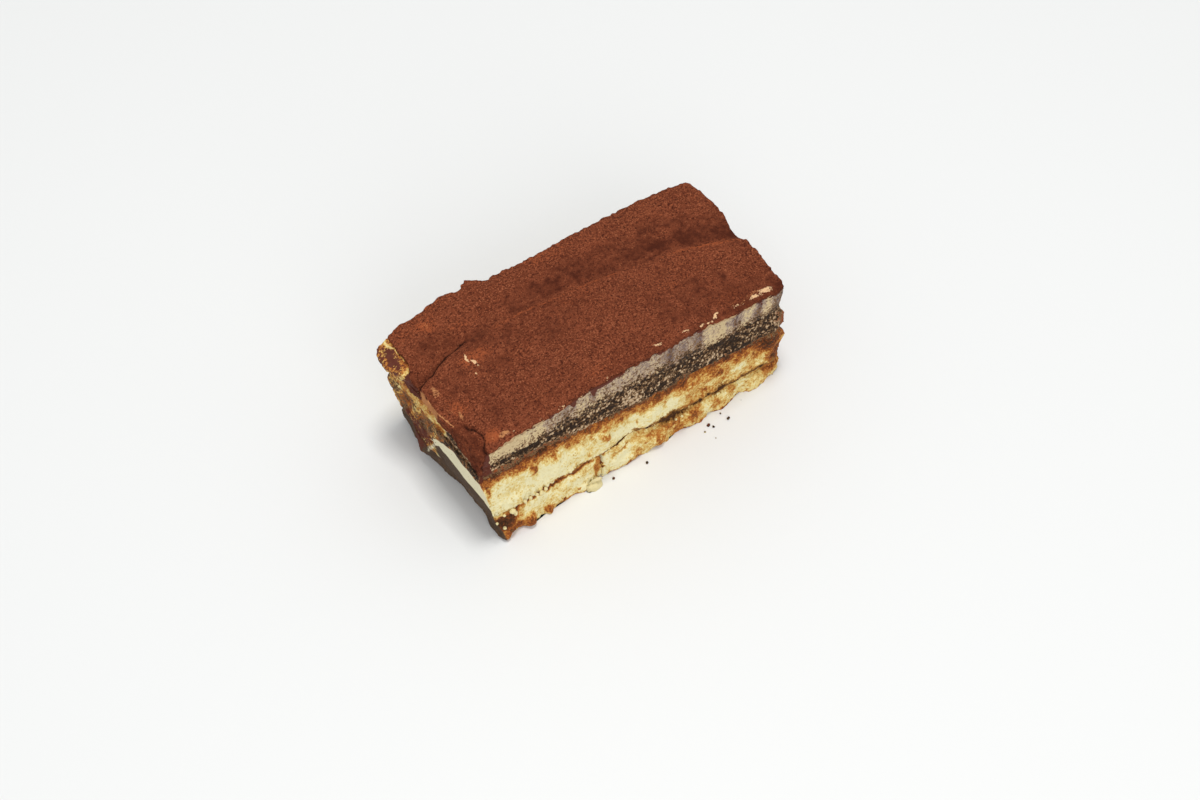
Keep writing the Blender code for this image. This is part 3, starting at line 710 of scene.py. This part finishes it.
def tongue_and_wall(normal, centre):
    """Faces of the cream that show: its sides, and the bare tongue at the back of the left end."""
    bare = centre.x < TONGUE_X and centre.y > TONGUE_Y
    return abs(normal.z) < SIDE_LEAN or (bare and normal.z > 0)


def everything(normal, centre):
    """Faces of the bead that show: all of them."""
    return True


def front_share(points):
    """1 on the front cut face, 0 behind it."""
    return smooth((FRONT_LOOKS_Y - points[:, 1]) / 4)


def end_share(points, outward, way):
    """Share by which each point near an end looks out of it: the left end for -1, the right end for 1."""
    return smooth(way * outward[:, 0] * 2 - 0.4) * smooth((way * points[:, 0] - END_LOOKS_X) / 4)


def blank(points, **marks):
    """The zones that the cut layers share, with a layer's own values put in."""
    zones = {name: np.zeros(len(points)) for name in ("fill", "browning", "cocoa")}
    zones.update(marks)
    return zones


# Cocoa


def strip_offset(points):
    """How far behind the front strip's edge each point lies."""
    return points[:, 1] - along(points[:, 0], STRIP_LINE)


def cracks(points):
    """Open cracks of the top: beside the front strip's rounded end, and across its near corner."""
    x, y = points[:, 0], points[:, 1]
    waver = 0.5 * lumps(points, 3.0, 11)
    beside = hump(strip_offset(points) - 0.3 + waver, 0.6) * smooth((CRACK_END_X - x) / 8)
    across = smooth((-11 - y) / 2) * smooth((y + 29) / 3)
    corner = hump(x - along(y, CORNER_CRACK) + 1.6 * waver, 0.6) * across
    return beside, corner


def grooves(points):
    """Fine wavy furrows that run along the strips, where the cocoa has sunk into folds of the cream."""
    drawn_out = points * (0.16, 1.0, 1.0)
    fold = 1 - 6 * abs(lumps(drawn_out + 0.12 * lumps(points, 4.0, 15)[:, None], 4.2, 13))
    return np.clip(fold, 0, 1) * smooth(1.2 * lumps(points * (0.5, 1, 1), 9.0, 17) + 0.25)


def rim_share(outward, start=1.0):
    """1 on the thin rim of the skin, 0 on its top; a higher start reaches further over the edge."""
    return smooth(start - 1.6 * abs(outward[:, 2]))


def cocoa_relief(points, outward):
    x, y = points[:, 0], points[:, 1]
    beside, corner = cracks(points)
    waves = 0.22 * lumps(points * (0.3, 1.0, 1.0), 4.0, 3) + 0.12 * lumps(points, 2.2, 5)
    powder = 0.10 * crumble(points, 1.0, 7, 2)
    rim = rim_share(outward, 1.6)
    torn = rim * (0.4 * lumps(points, 3.4, 8) + 0.5 * lumps(points, 1.2, 9))
    flake = rim * (y > 0) * along(x, BACK_EDGE)
    raised = patches(points, RAISED_LUMPS, (0, 1)) + 0.5 * patches(points, EDGE_BITS, (0, 1))
    return waves + powder + torn + flake + raised - 0.25 * grooves(points) - beside - 0.9 * corner


def cocoa_marks(points, outward):
    x, y, z = points.T
    beside, corner = cracks(points)
    offset = strip_offset(points)
    broken = stirred(points, 0.5, 1.3, 21)
    rim = rim_share(outward)
    front_rim = rim * front_share(points)
    cream_line = front_rim * smooth((along(x, CREAM_TOP[0]) + 0.7 - z + 0.5 * lumps(points, 2.4, 29)) / 0.5)
    cream_line = cream_line * smooth(x + 59.5) * (0.35 + 0.65 * clean_share(points))
    # The rounded end of the front strip is a shallow curve
    round_edge = y**2 / 80 - 64.0
    end_line = hump(x - round_edge + 0.1 + 0.2 * lumps(points, 2, 30), 0.32) * stretch(y, -11, 8, 3)
    back = smooth((offset - 12) / 6)
    front_edge = smooth((-24.8 - y) / 1.6) * smooth((x + 20) / 20)
    # Painted shade: a soft dark band in the valley behind the front strip's crest
    shade_behind_crest = hump(offset - 3.6, 3.0) * smooth((x + 20) / 16)
    far_band = 0.05 * hump(y - 18 + 0.05 * x, 4.0) * stretch(x, -40, 50, 12)
    # Darker cocoa where it is moist, in furrows and in patches, with the painted shade along the valley
    moist_and_shaded = 0.16 + 0.10 * hump(offset - 5.5, 4.5) + 0.24 * shade_behind_crest + far_band + 0.20 * grooves(points)
    moist_and_shaded = moist_and_shaded + 0.22 * lumps(points, 5.0, 27) + 0.36 * lumps(points * (0.4, 1, 1), 11.0, 28)
    moist_and_shaded = moist_and_shaded - 0.2 * back + 0.1 * smooth((x - 20) / 20) + 0.3 * front_edge
    moist_and_shaded = moist_and_shaded + 0.35 * (x < -59) * smooth((-10 - y) / 4)
    rusty_and_highlight = 0.10 + 0.32 * lumps(points * (0.5, 1, 1), 7.0, 23) + patches(points, RUSTY_PATCHES, (0, 1))
    # Painted highlight: a thin lighter line along the crest of the front strip's edge
    rusty_and_highlight = rusty_and_highlight + 0.50 * hump(offset + 0.8, 0.8) * smooth((x + 40) / 12) + 0.15 * back
    return {
        "cream": cream_line,
        "bare": 1.35 * patches(broken, SCRATCHES + EDGE_BITS, (0, 1)) - 0.25,
        "smeared": 1.2 * np.maximum(patches(broken, SMEARED_PATCHES, (0, 1)), 1.1 * end_line) - 0.2,
        "rusty_and_highlight": rusty_and_highlight,
        "moist_and_shaded": moist_and_shaded,
        # Painted shadow in the open cracks
        "crack_shadow": np.maximum(0.85 * beside, 0.66 * corner),
    }


# Cut faces


def speckle(points, seed=153):
    """Grains of an open crumb: from -1 for a dark hole to 1 for a pale dry grain."""
    distance, number = nearest_grain(stirred(points, 0.25, 0.9, 151), 1.05, seed)
    return 2 * (number - 0.5) * (1 - smooth((distance - 0.35) / 0.3)) - 0.35 * smooth((distance - 0.4) / 0.3)


def leaning_x(points):
    """Place along X of the slightly leaning lines that the knife drew down the cream."""
    return points[:, 0] - 0.14 * (points[:, 2] - 45)


def clean_share(points):
    """Where the knife left the cream clean, along X on the long faces."""
    x = leaning_x(points) + 1.8 * crumble(points, 4.0, 40, 2)
    return np.maximum.reduce([stretch(x, start, end, 4.0) for start, end in CLEAN_CREAM])


def torn_share(points):
    """1 on the torn rear half of the left end."""
    start = along(points[:, 2], TORN_START)
    return smooth((points[:, 1] - start + 2 * lumps(points, 4, 36)) / 4) * smooth((TORN_X - points[:, 0]) / 3)


def cream_relief(points, outward):
    x, y, z = points.T
    face = 0.14 * lumps(points * (1, 1, 0.35), 3.2, 31) + 0.10 * crumble(points, 1.2, 33, 2)
    low = smooth(1.2 - (z - level_of(points, CREAM_FOOT)) / 4)
    back_rim = smooth((y - 26) / 2) * smooth((z - 43) / 2) * smooth((outward[:, 1] - 0.5) * 4)
    torn = torn_share(points) * 0.6 * crumble(points, 3.0, 35, 3)
    return face + 0.14 * low * speckle(points) + torn + along(x, BACK_EDGE) * back_rim


def tongue_zones(points):
    """Colours of the bare tongue: an orange outer rim, a lens of cocoa, and a cream line beside the cocoa."""
    x, y, z = points.T
    broken = stirred(points, 0.6, 1.8, 45)
    start_x, start_y, foot = TONGUE_LOOKS
    there = smooth((y - start_y) / 1.5) * smooth((z - foot) / 1.2) * smooth((start_x - x) / 1.5)
    lens = 0.48 + 0.26 * patches(broken, TONGUE_LENS, (0, 1)) + 0.24 * crumble(points, 2.0, 44, 2)
    line = hump(broken[:, 0] - along(y, TONGUE_LINE) + 0.6, 0.8)
    lower_rim = smooth(45.0 - z) + smooth((18 - y) / 2)
    pale = np.maximum(0.36 * line, 0.28 * np.clip(lower_rim, 0, 1))
    browning = 0.60 + 0.10 * lumps(points, 2.4, 46) - pale
    return there, browning, there * (lens - 0.9 * pale)


def flap_share(points):
    """The cocoa that hangs down over the left end, as far as its ragged foot."""
    x, y, z = points.T
    return smooth((FLAP_X - x) / 2) * smooth((z - along(y, FLAP_FOOT)) / 1.2 + 0.5)


def cream_marks(points, outward):
    x, y, z = points.T
    above = z - level_of(points, CREAM_FOOT)
    clean = clean_share(points)
    right = end_share(points, outward, 1)
    across = leaning_x(points) + 0.9 * crumble(points, 3, 42, 2)
    below_top = z - along(x, CREAM_TOP[0])
    threads = sum(
        hump(across - at, width) * smooth((below_top + drop) / 5 + 0.5) for at, width, drop in COCOA_THREADS
    )
    soaked = smooth(1 - (above + 0.8 * lumps(points, 2.0, 50)) / 6.0)
    fill = 0.20 - 0.20 * clean + 0.28 * soaked + 0.14 * soaked**3
    fill = fill - 0.08 * smooth((above - 5) / 3) + 0.10 * threads
    fill = fill - (0.22 + 0.14 * (1 - clean)) * speckle(points)
    torn = torn_share(points)
    mottled = 0.54 + 0.25 * crumble(stirred(points, 1.0, 2.5, 48), 3.2, 49, 2)
    there, tongue_brown, lens = tongue_zones(points)
    smear = 0.56 - 0.56 * clean + 0.30 * lumps(points * (1, 1, 0.3), 2.6, 41) + 0.40 * threads + 0.15 * right
    smear = smear + 0.20 * smooth(x / 20)
    fringe = 0.9 * lumps(points, 2.2, 47) + 0.6 * lumps(points, 1.1, 59) + threads * (0.8 + 2.2 * (x < 0))
    edge = z - level_of(points, CREAM_TOP) + 1.2 + fringe
    flap = flap_share(points) * smooth((20 - y) / 3) * (1 - there)
    flap = np.maximum(flap, smooth(-60.4 - x) * smooth((-22 - y) / 3))
    return blank(
        points,
        smear=smear * (1 - torn),
        clean=np.zeros(len(points)),
        fill=np.where(torn > 0.5, 0.1 - 0.2 * speckle(points), fill) * (1 - there),
        browning=there * tongue_brown + (1 - there) * (torn * mottled - 0.7 * (1 - torn)),
        cocoa=np.maximum.reduce([0.9 * smooth(edge / 0.8) * (1 - there), lens, 0.9 * flap, 0.34 * threads]),
    )


def coffee_relief(points, outward):
    return 0.28 * speckle(points) + 0.22 * crumble(points, 2.6, 53, 2)


def coffee_marks(points, outward):
    x, y, z = points.T
    above = z - level_of(points, COFFEE_FOOT)
    broken = stirred(points, 0.8, 2.4, 54)
    front = front_share(points)
    fill = 0.57 + 0.10 * lumps(points, 3.0, 55) - 0.14 * smooth(1 - above / 3) * smooth((-10 - x) / 20)
    fill = fill + front * (patches(broken, COFFEE_DARK) - patches(broken, COFFEE_LIGHT))
    stain = 0.26 * smooth(1 - above / 3) * (1 + smooth((-20 - x) / 20)) + 0.22 * lumps(points, 2.6, 58)
    stain = stain + front * patches(broken, COFFEE_BROWN)
    torn = torn_share(points)
    scorched = front * smooth(1 - above / 3.6) * smooth((-22 - x) / 14)
    rusty = smooth((x - 59.0) / 1.2) * smooth((-10 - y) / 10) * hump(z - 28.5, 4.5)
    corner = smooth((-60.4 - x) / 1.2) * smooth((-20 - y) / 3)
    return blank(
        points,
        fill=fill - 0.42 * speckle(points) - 0.28 * np.clip(stain, 0, 0.7) - 0.4 * torn - 0.4 * rusty,
        browning=torn * (0.94 + 0.25 * lumps(points, 3.0, 56)) - 0.5,
        stain=stain + 0.56 * scorched + 0.9 * rusty,
        cocoa=np.maximum.reduce([0.8 * corner, 0.85 * flap_share(points), 0.2 * lumps(points, 2.6, 57)]),
    )


# Ladyfingers


def crumb_relief(points, seed):
    """Torn open crumb: crags, and pores of two sizes."""
    return (
        0.35 * crumble(points, 3.6, seed, 4)
        - 0.35 * pores(points, 3.0, seed + 6, 0.34)
        - 0.22 * pores(points, 1.4, seed + 9)
    )


def crumb_tone(points, seed):
    """How browned the crumb is away from stains: pale walls, straw all round, golden pores and veins."""
    veins = smooth((lumps(stirred(points, 0.8, 2.0, seed + 30), 2.4, seed) - 0.15) / 0.4)
    return 0.05 + 0.08 * lumps(points, 5.0, seed + 1) + 0.14 * veins + 0.10 * lumps(points, 1.2, seed + 2)


def golden_blotches(points, seed):
    """Scattered golden brown blotches of a sponge."""
    return 0.46 * smooth((crumble(stirred(points, 1.2, 3.0, seed), 7.0, seed + 5, 2) - 0.5) / 0.35)


def stain_share(points):
    """How far coffee has soaked down into the upper row: 1 at its top, 0 at the stain's ragged lower edge."""
    ragged_edge = 1.2 * lumps(points * (1, 1, 0.4), 3.0, 71) + 0.9 * lumps(points * (1, 1, 0.5), 1.3, 72)
    depth = np.maximum(along(points[:, 0], STAIN_DEPTH) + ragged_edge, 2.0)
    return 1 - (level_of(points, COFFEE_FOOT) - points[:, 2]) / depth


def seam_band(points):
    """The soft brown band that coffee has left along the seam of the right half, on both rows."""
    x, z = points[:, 0], points[:, 2]
    height = z - level_of(points, SEAM) + 0.8 * lumps(points, 3.0, 66)
    return 0.60 * hump(height + 0.6, 2.8) * smooth((x - 2) / 8)


def curled_lump(points, outward):
    """The lump that curls out of the left end's foot.

    Gives the shares of its pale rim, a painted highlight on its wet edge, of its cocoa stained side, and of
    the recess in front of it, which is painted darker as shade.
    """
    y, z = points[:, 1], points[:, 2]
    past_rim = y - along(z, CURLED_RIM) + 0.6 * lumps(points, 2.4, 67)
    end = end_share(points, outward, -1)
    rim = end * hump(past_rim, 0.9) * smooth((25 - z) / 2) * smooth((z - 8) / 6)
    side = end * smooth(past_rim - 0.6) * smooth((CURLED_BACK_Y - y) / 3) * smooth((CURLED_TOP - z) / 2)
    hollow = end * smooth(-0.6 - past_rim) * smooth((y - 1) / 3) * smooth((17 - z) / 3)
    return rim, side, hollow


def ivory_share(points, outward):
    """The smooth pale strip of the left end."""
    y, z = points[:, 1], points[:, 2]
    ragged_edge = 0.4 * lumps(points, 1.6, 60)
    below_top = smooth((along(y, IVORY_TOP) - z + ragged_edge) / 0.8 + 0.5)
    above_foot = smooth((z - along(y, IVORY_FOOT) + 0.5 * ragged_edge) / 1.2 + 0.5)
    start = smooth((IVORY_START_Y - y + 2 * ragged_edge) / 1.5)
    return end_share(points, outward, -1) * start * below_top * above_foot


def scallop(x):
    """How far a scallop hangs over the seam: 0 between two of them, 1 at its middle."""
    return abs(np.sin(np.pi * x / SCALLOP_WIDTH))


def upper_relief(points, outward):
    x, y, z = points.T
    front = front_share(points)
    calm = 0.9 * end_share(points, outward, -1) * smooth((-1 - y) / 3)
    torn = torn_share(points) * 0.5 * crumble(points, 4.0, 62, 2)
    formed = patches(points, UPPER_LUMPS) - patches(points, UPPER_CREASES)
    at_seam = stretch(x, *SCALLOPED, 2) * hump(z - along(x, SEAM[0]) - 0.7, 1.7)
    scallops = SCALLOP_HEIGHT * scallop(x) * at_seam
    rim, side, _ = curled_lump(points, outward)
    return crumb_relief(points, 61) * (1 - calm) + front * (formed + scallops) + torn + 0.5 * rim + 0.4 * side


def upper_marks(points, outward):
    x, y, z = points.T
    front = front_share(points)
    broken = stirred(points, 0.9, 2.2, 64)
    soaked = stain_share(points)
    stain = np.interp(soaked, (-0.25, 0.0, 0.14, 0.4, 0.7, 1.0), (0.0, 0.26, 0.44, 0.54, 0.74, 0.86))
    stain = stain + 0.06 * smooth((-20 - x) / 15) * smooth(soaked / 0.3)
    tone = crumb_tone(points, 74) + 0.12 * smooth(1 + soaked)
    tone = tone - 0.30 * front * patches(broken, UPPER_PALE) + 0.22 * front * smooth((x - 12) / 14)
    right = end_share(points, outward, 1)
    left = end_share(points, outward, -1)
    torn = torn_share(points)
    tone = tone + 0.12 * front * stretch(x, 14, 36, 5) * smooth((26 - z) / 4)
    crusts = np.maximum(stain + 0.12 * lumps(points, 1.8, 78), front * patches(broken, UPPER_BROWN))
    crusts = np.maximum(crusts, right * (0.56 + 0.14 * crumble(points, 7.0, 80)))
    crusts = np.maximum(crusts, golden_blotches(points, 70) * (1 - front) * (1 - left))
    crusts = np.maximum(crusts, seam_band(points))
    torn_tone = 0.56 + 0.20 * crumble(points, 2.6, 79, 2)
    torn_tone = torn_tone + patches(points, TORN_DARK, (1, 2)) - patches(points, TORN_PALE, (1, 2))
    # Painted shade over dark crust on the undercut wall below the pale strip of the left end
    shade_below_strip = left * (1 - torn) * smooth((along(y, IVORY_FOOT) - z) / 1.5 + 0.5)
    above_strip = left * (1 - torn) * smooth(z - along(y, IVORY_TOP) + 0.5)
    browning = np.maximum(tone, crusts) * (1 - torn) + torn * torn_tone
    fill = np.interp(soaked, (0.5, 0.8, 1.0), (-0.4, 0.22, 0.50)) - 0.3 * speckle(points)
    torn_fill = 0.32 + 0.30 * crumble(stirred(points, 1.0, 2.4, 65), 3.4, 63, 2) - 0.15 * speckle(points)
    rim, side, _ = curled_lump(points, outward)
    # Painted shade: a thin dark line along the seam under the upper row
    seam_shade_line = 0.75 * hump(z - level_of(points, SEAM) + 0.2, 0.5) * smooth((x + 56) / 6)
    return blank(
        points,
        browning=browning,
        fill=np.where(above_strip > 0.5, 0.62 - 0.4 * speckle(points), fill * (1 - torn) + torn_fill * torn),
        damp=shade_below_strip,
        hollow=np.maximum(front * patches(broken, SEAM_CRUST_AND_SHADE), 0.6 * seam_shade_line),
        # The pale strip of the left end, and a painted highlight on the curled lump's wet rim
        ivory=np.maximum(ivory_share(points, outward), 0.66 * rim),
        cocoa=np.maximum(
            0.7 * smooth(-61.6 - x) * smooth((z - 32) / 2) * smooth((-24 - y) / 3),
            np.maximum(0.62 * side, 0.44 * rim),
        ),
    )


def lower_relief(points, outward):
    front = front_share(points)
    rough = crumb_relief(points, 81) + 0.3 * lumps(points, 1.7, 89) * smooth(1 - points[:, 2] / 4)
    formed = patches(points, LOWER_LUMPS) - patches(points, LOWER_CREASES)
    rim, side, hollow = curled_lump(points, outward)
    return rough + front * formed + 0.4 * rim + 0.3 * side - 0.4 * hollow


def lower_marks(points, outward):
    x, z = points[:, 0], points[:, 2]
    front = front_share(points)
    left = end_share(points, outward, -1)
    right = end_share(points, outward, 1)
    broken = stirred(points, 0.8, 2.0, 84)
    below = level_of(points, SEAM) - z
    small = lumps(points, 1.3, 83)
    rim, side, hollow = curled_lump(points, outward)
    tone = 0.10 + crumb_tone(points, 88) - 0.30 * front * patches(broken, LOWER_PALE)
    tone = tone + front * (0.18 * smooth((x + 12) / 14) + 0.08 * lumps(points, 4.4, 90))
    foot = smooth((0.9 + lumps(points, 3.2, 85) + 0.6 * small - z) / 0.9) * (0.56 + 0.2 * small)
    specks = smooth((1.8 - abs(z - 1.6)) / 1.5) * stretch(x, -37, -23, 3) * smooth((small - 0.1) / 0.3)
    crusts = np.maximum.reduce([
        front * patches(broken, LOWER_BROWN), foot, 0.85 * front * specks, 0.6 * left, seam_band(points),
        right * (0.60 + 0.14 * crumble(points, 7.0, 86)), 0.62 * (1 - front) * hump(z - 1.5, 1.5),
        golden_blotches(points, 87) * (1 - front) * (1 - left),
    ])
    # Painted shadow under the seam, on the left half of the long face and all round the back, its upper edge
    # scalloped where the crumb hangs over it
    scalloped = 0.7 * (scallop(x) - 0.5) * stretch(x, *SCALLOPED, 2)
    shadow_under_seam = 0.80 * hump(below - 1.0 - 0.4 * small - scalloped, 0.9)
    shadow_under_seam = shadow_under_seam * np.maximum(stretch(x, -50, -20, 4), 1 - front)
    # Painted shade where the lower row's top meets the seam
    lip_shade = 0.75 * smooth((0.8 - below) / 0.7)
    return blank(
        points,
        browning=np.maximum.reduce([tone, crusts, shadow_under_seam]),
        fill=np.full(len(points), -0.5),
        hollow=np.maximum(front * patches(broken, SEAM_CRUST_AND_SHADE), lip_shade * smooth((x + 20) / 6) + 0.45 * lip_shade),
        # Painted highlight on the curled lump's wet rim
        ivory=0.66 * rim,
        # The lower row's left end is painted dark: crust in painted shade
        damp=left * np.maximum(0.9, hollow),
        # Cocoa on the curled lump's side, and painted shade in the recess in front of it
        cocoa=np.maximum.reduce([0.62 * side, 0.3 * hollow, 0.44 * rim]),
    )


# Pressed out cream and loose crumbs


def bead_relief(points, outward):
    drawn_in = 0.9 * smooth((points[:, 2] - 2.2) / 2)
    return 0.8 * lumps(points, 4.0, 91) + 0.25 * crumble(points, 1.6, 93, 2) - drawn_in


def bead_marks(points, outward):
    nothing = np.zeros(len(points))
    return blank(points, smear=nothing, clean=0.9 + 0.3 * lumps(points, 2.0, 92), browning=nothing - 0.3)


def loose_crumb_relief(points, outward):
    return 0.3 * crumble(points, 0.9, 95, 2)


def fallen_marks(points, outward):
    """Dark wet crumbs, some with cocoa on them."""
    cocoa = 0.35 + 0.3 * lumps(points, 0.8, 97)
    return blank(points, fill=0.8 + 0.2 * lumps(points, 0.6, 96), cocoa=cocoa)


def add_crumbs(name, grains, material, marks):
    """Small uneven crumbs, each at its place with its radius, joined in one piece."""
    bm = bmesh.new()
    for x, y, z, radius in grains:
        place = Matrix.Translation((Vector((x, y, z)) + Vector(SLICE_MIDDLE)) * MM)
        bmesh.ops.create_icosphere(bm, subdivisions=CRUMB_CUTS, radius=radius * MM, matrix=place)
    mesh = bpy.data.meshes.new(name)
    bm.to_mesh(mesh)
    bm.free()
    mesh.polygons.foreach_set("material_index", np.ones(len(mesh.polygons), int))
    shape_mesh(mesh, loose_crumb_relief, marks, closing=0.0, settling=False)
    add_piece(name, mesh, material)


def crumb_places():
    """Pale crumbs caught on the cut face, and dark ones on the ground in front of it."""
    caught = [(x, front_face_y(x, z) - 0.7, z, 0.9 * radius) for x, z, radius in CREAM_CRUMBS]
    fallen = [(x, y, 0.7 * radius, radius) for x, y, radius in DARK_CRUMBS]
    return caught, fallen


# Camera, ground and light


def add_camera():
    data = bpy.data.cameras.new("camera")
    data.lens = CAMERA_LENS
    data.sensor_width = SENSOR_WIDTH
    data.dof.use_dof = False
    camera = bpy.data.objects.new("camera", data)
    camera.location = CAMERA_PLACE
    camera.rotation_euler = Vector(CAMERA_TOWARDS).to_track_quat("-Z", "Y").to_euler()
    bpy.context.collection.objects.link(camera)
    bpy.context.scene.camera = camera


def add_floor():
    # A matt white ground spreads the light evenly and takes soft shadows without gloss.
    material, _, shader, _ = new_surface("matt_white_ground")
    shader.inputs["Base Color"].default_value = linear(FLOOR_COLOUR)
    shader.inputs["Roughness"].default_value = 0.6
    bm = bmesh.new()
    bmesh.ops.create_grid(bm, x_segments=1, y_segments=1, size=FLOOR_SIZE)
    mesh = bpy.data.meshes.new("floor")
    bm.to_mesh(mesh)
    bm.free()
    mesh.materials.append(material)
    floor = bpy.data.objects.new("floor", mesh)
    bpy.context.collection.objects.link(floor)


def add_lamp(name, place, size, power):
    data = bpy.data.lights.new(name, "AREA")
    data.size = size
    data.energy = power
    lamp = bpy.data.objects.new(name, data)
    lamp.location = place
    lamp.rotation_euler = (Vector(LAMP_TARGET) - Vector(place)).to_track_quat("-Z", "Y").to_euler()
    bpy.context.collection.objects.link(lamp)


def add_lights():
    """A soft lamp high over the slice, a wide one in front on the left, and pale walls all round."""
    world = bpy.data.worlds.new("studio")
    world.use_nodes = True
    world.node_tree.nodes["Background"].inputs["Color"].default_value = linear(WALL_COLOUR)
    world.node_tree.nodes["Background"].inputs["Strength"].default_value = WALL_BRIGHTNESS
    bpy.context.scene.world = world
    add_lamp("key", *KEY_LAMP)
    add_lamp("fill", *FILL_LAMP)


def build():
    bpy.context.scene.view_settings.view_transform = "Standard"
    add_camera()
    add_floor()
    add_lights()
    cocoa = cocoa_powder()
    cream = mascarpone()
    sponge = coffee_sponge()
    finger = ladyfinger("torn_ladyfinger_crumb")
    soaked = ladyfinger("soaked_ladyfinger_crumb")
    dress("cocoa_dusting", "cocoa_skin", cocoa, outer_skin, cocoa_relief, cocoa_marks)
    dress(
        "mascarpone_cream", "cream_layer", cream, tongue_and_wall, cream_relief, cream_marks,
        closing=CREAM_CLOSING,
    )
    dress("coffee_sponge", "coffee_layer", sponge, wall, coffee_relief, coffee_marks)
    dress("upper_ladyfinger", "upper_row", finger, wall, upper_relief, upper_marks)
    for side in ("left", "right"):
        dress(
            f"lower_ladyfinger_{side}", f"lower_row_{side}", soaked, finger_wall,
            lower_relief, lower_marks,
        )
    dress(
        "pressed_out_cream", "cream_bead", cream, everything, bead_relief, bead_marks,
        cuts=BEAD_CUTS,
    )
    caught, fallen = crumb_places()
    add_crumbs("caught_crumbs", caught, cream, bead_marks)
    add_crumbs("fallen_crumbs", fallen, sponge, fallen_marks)


build()
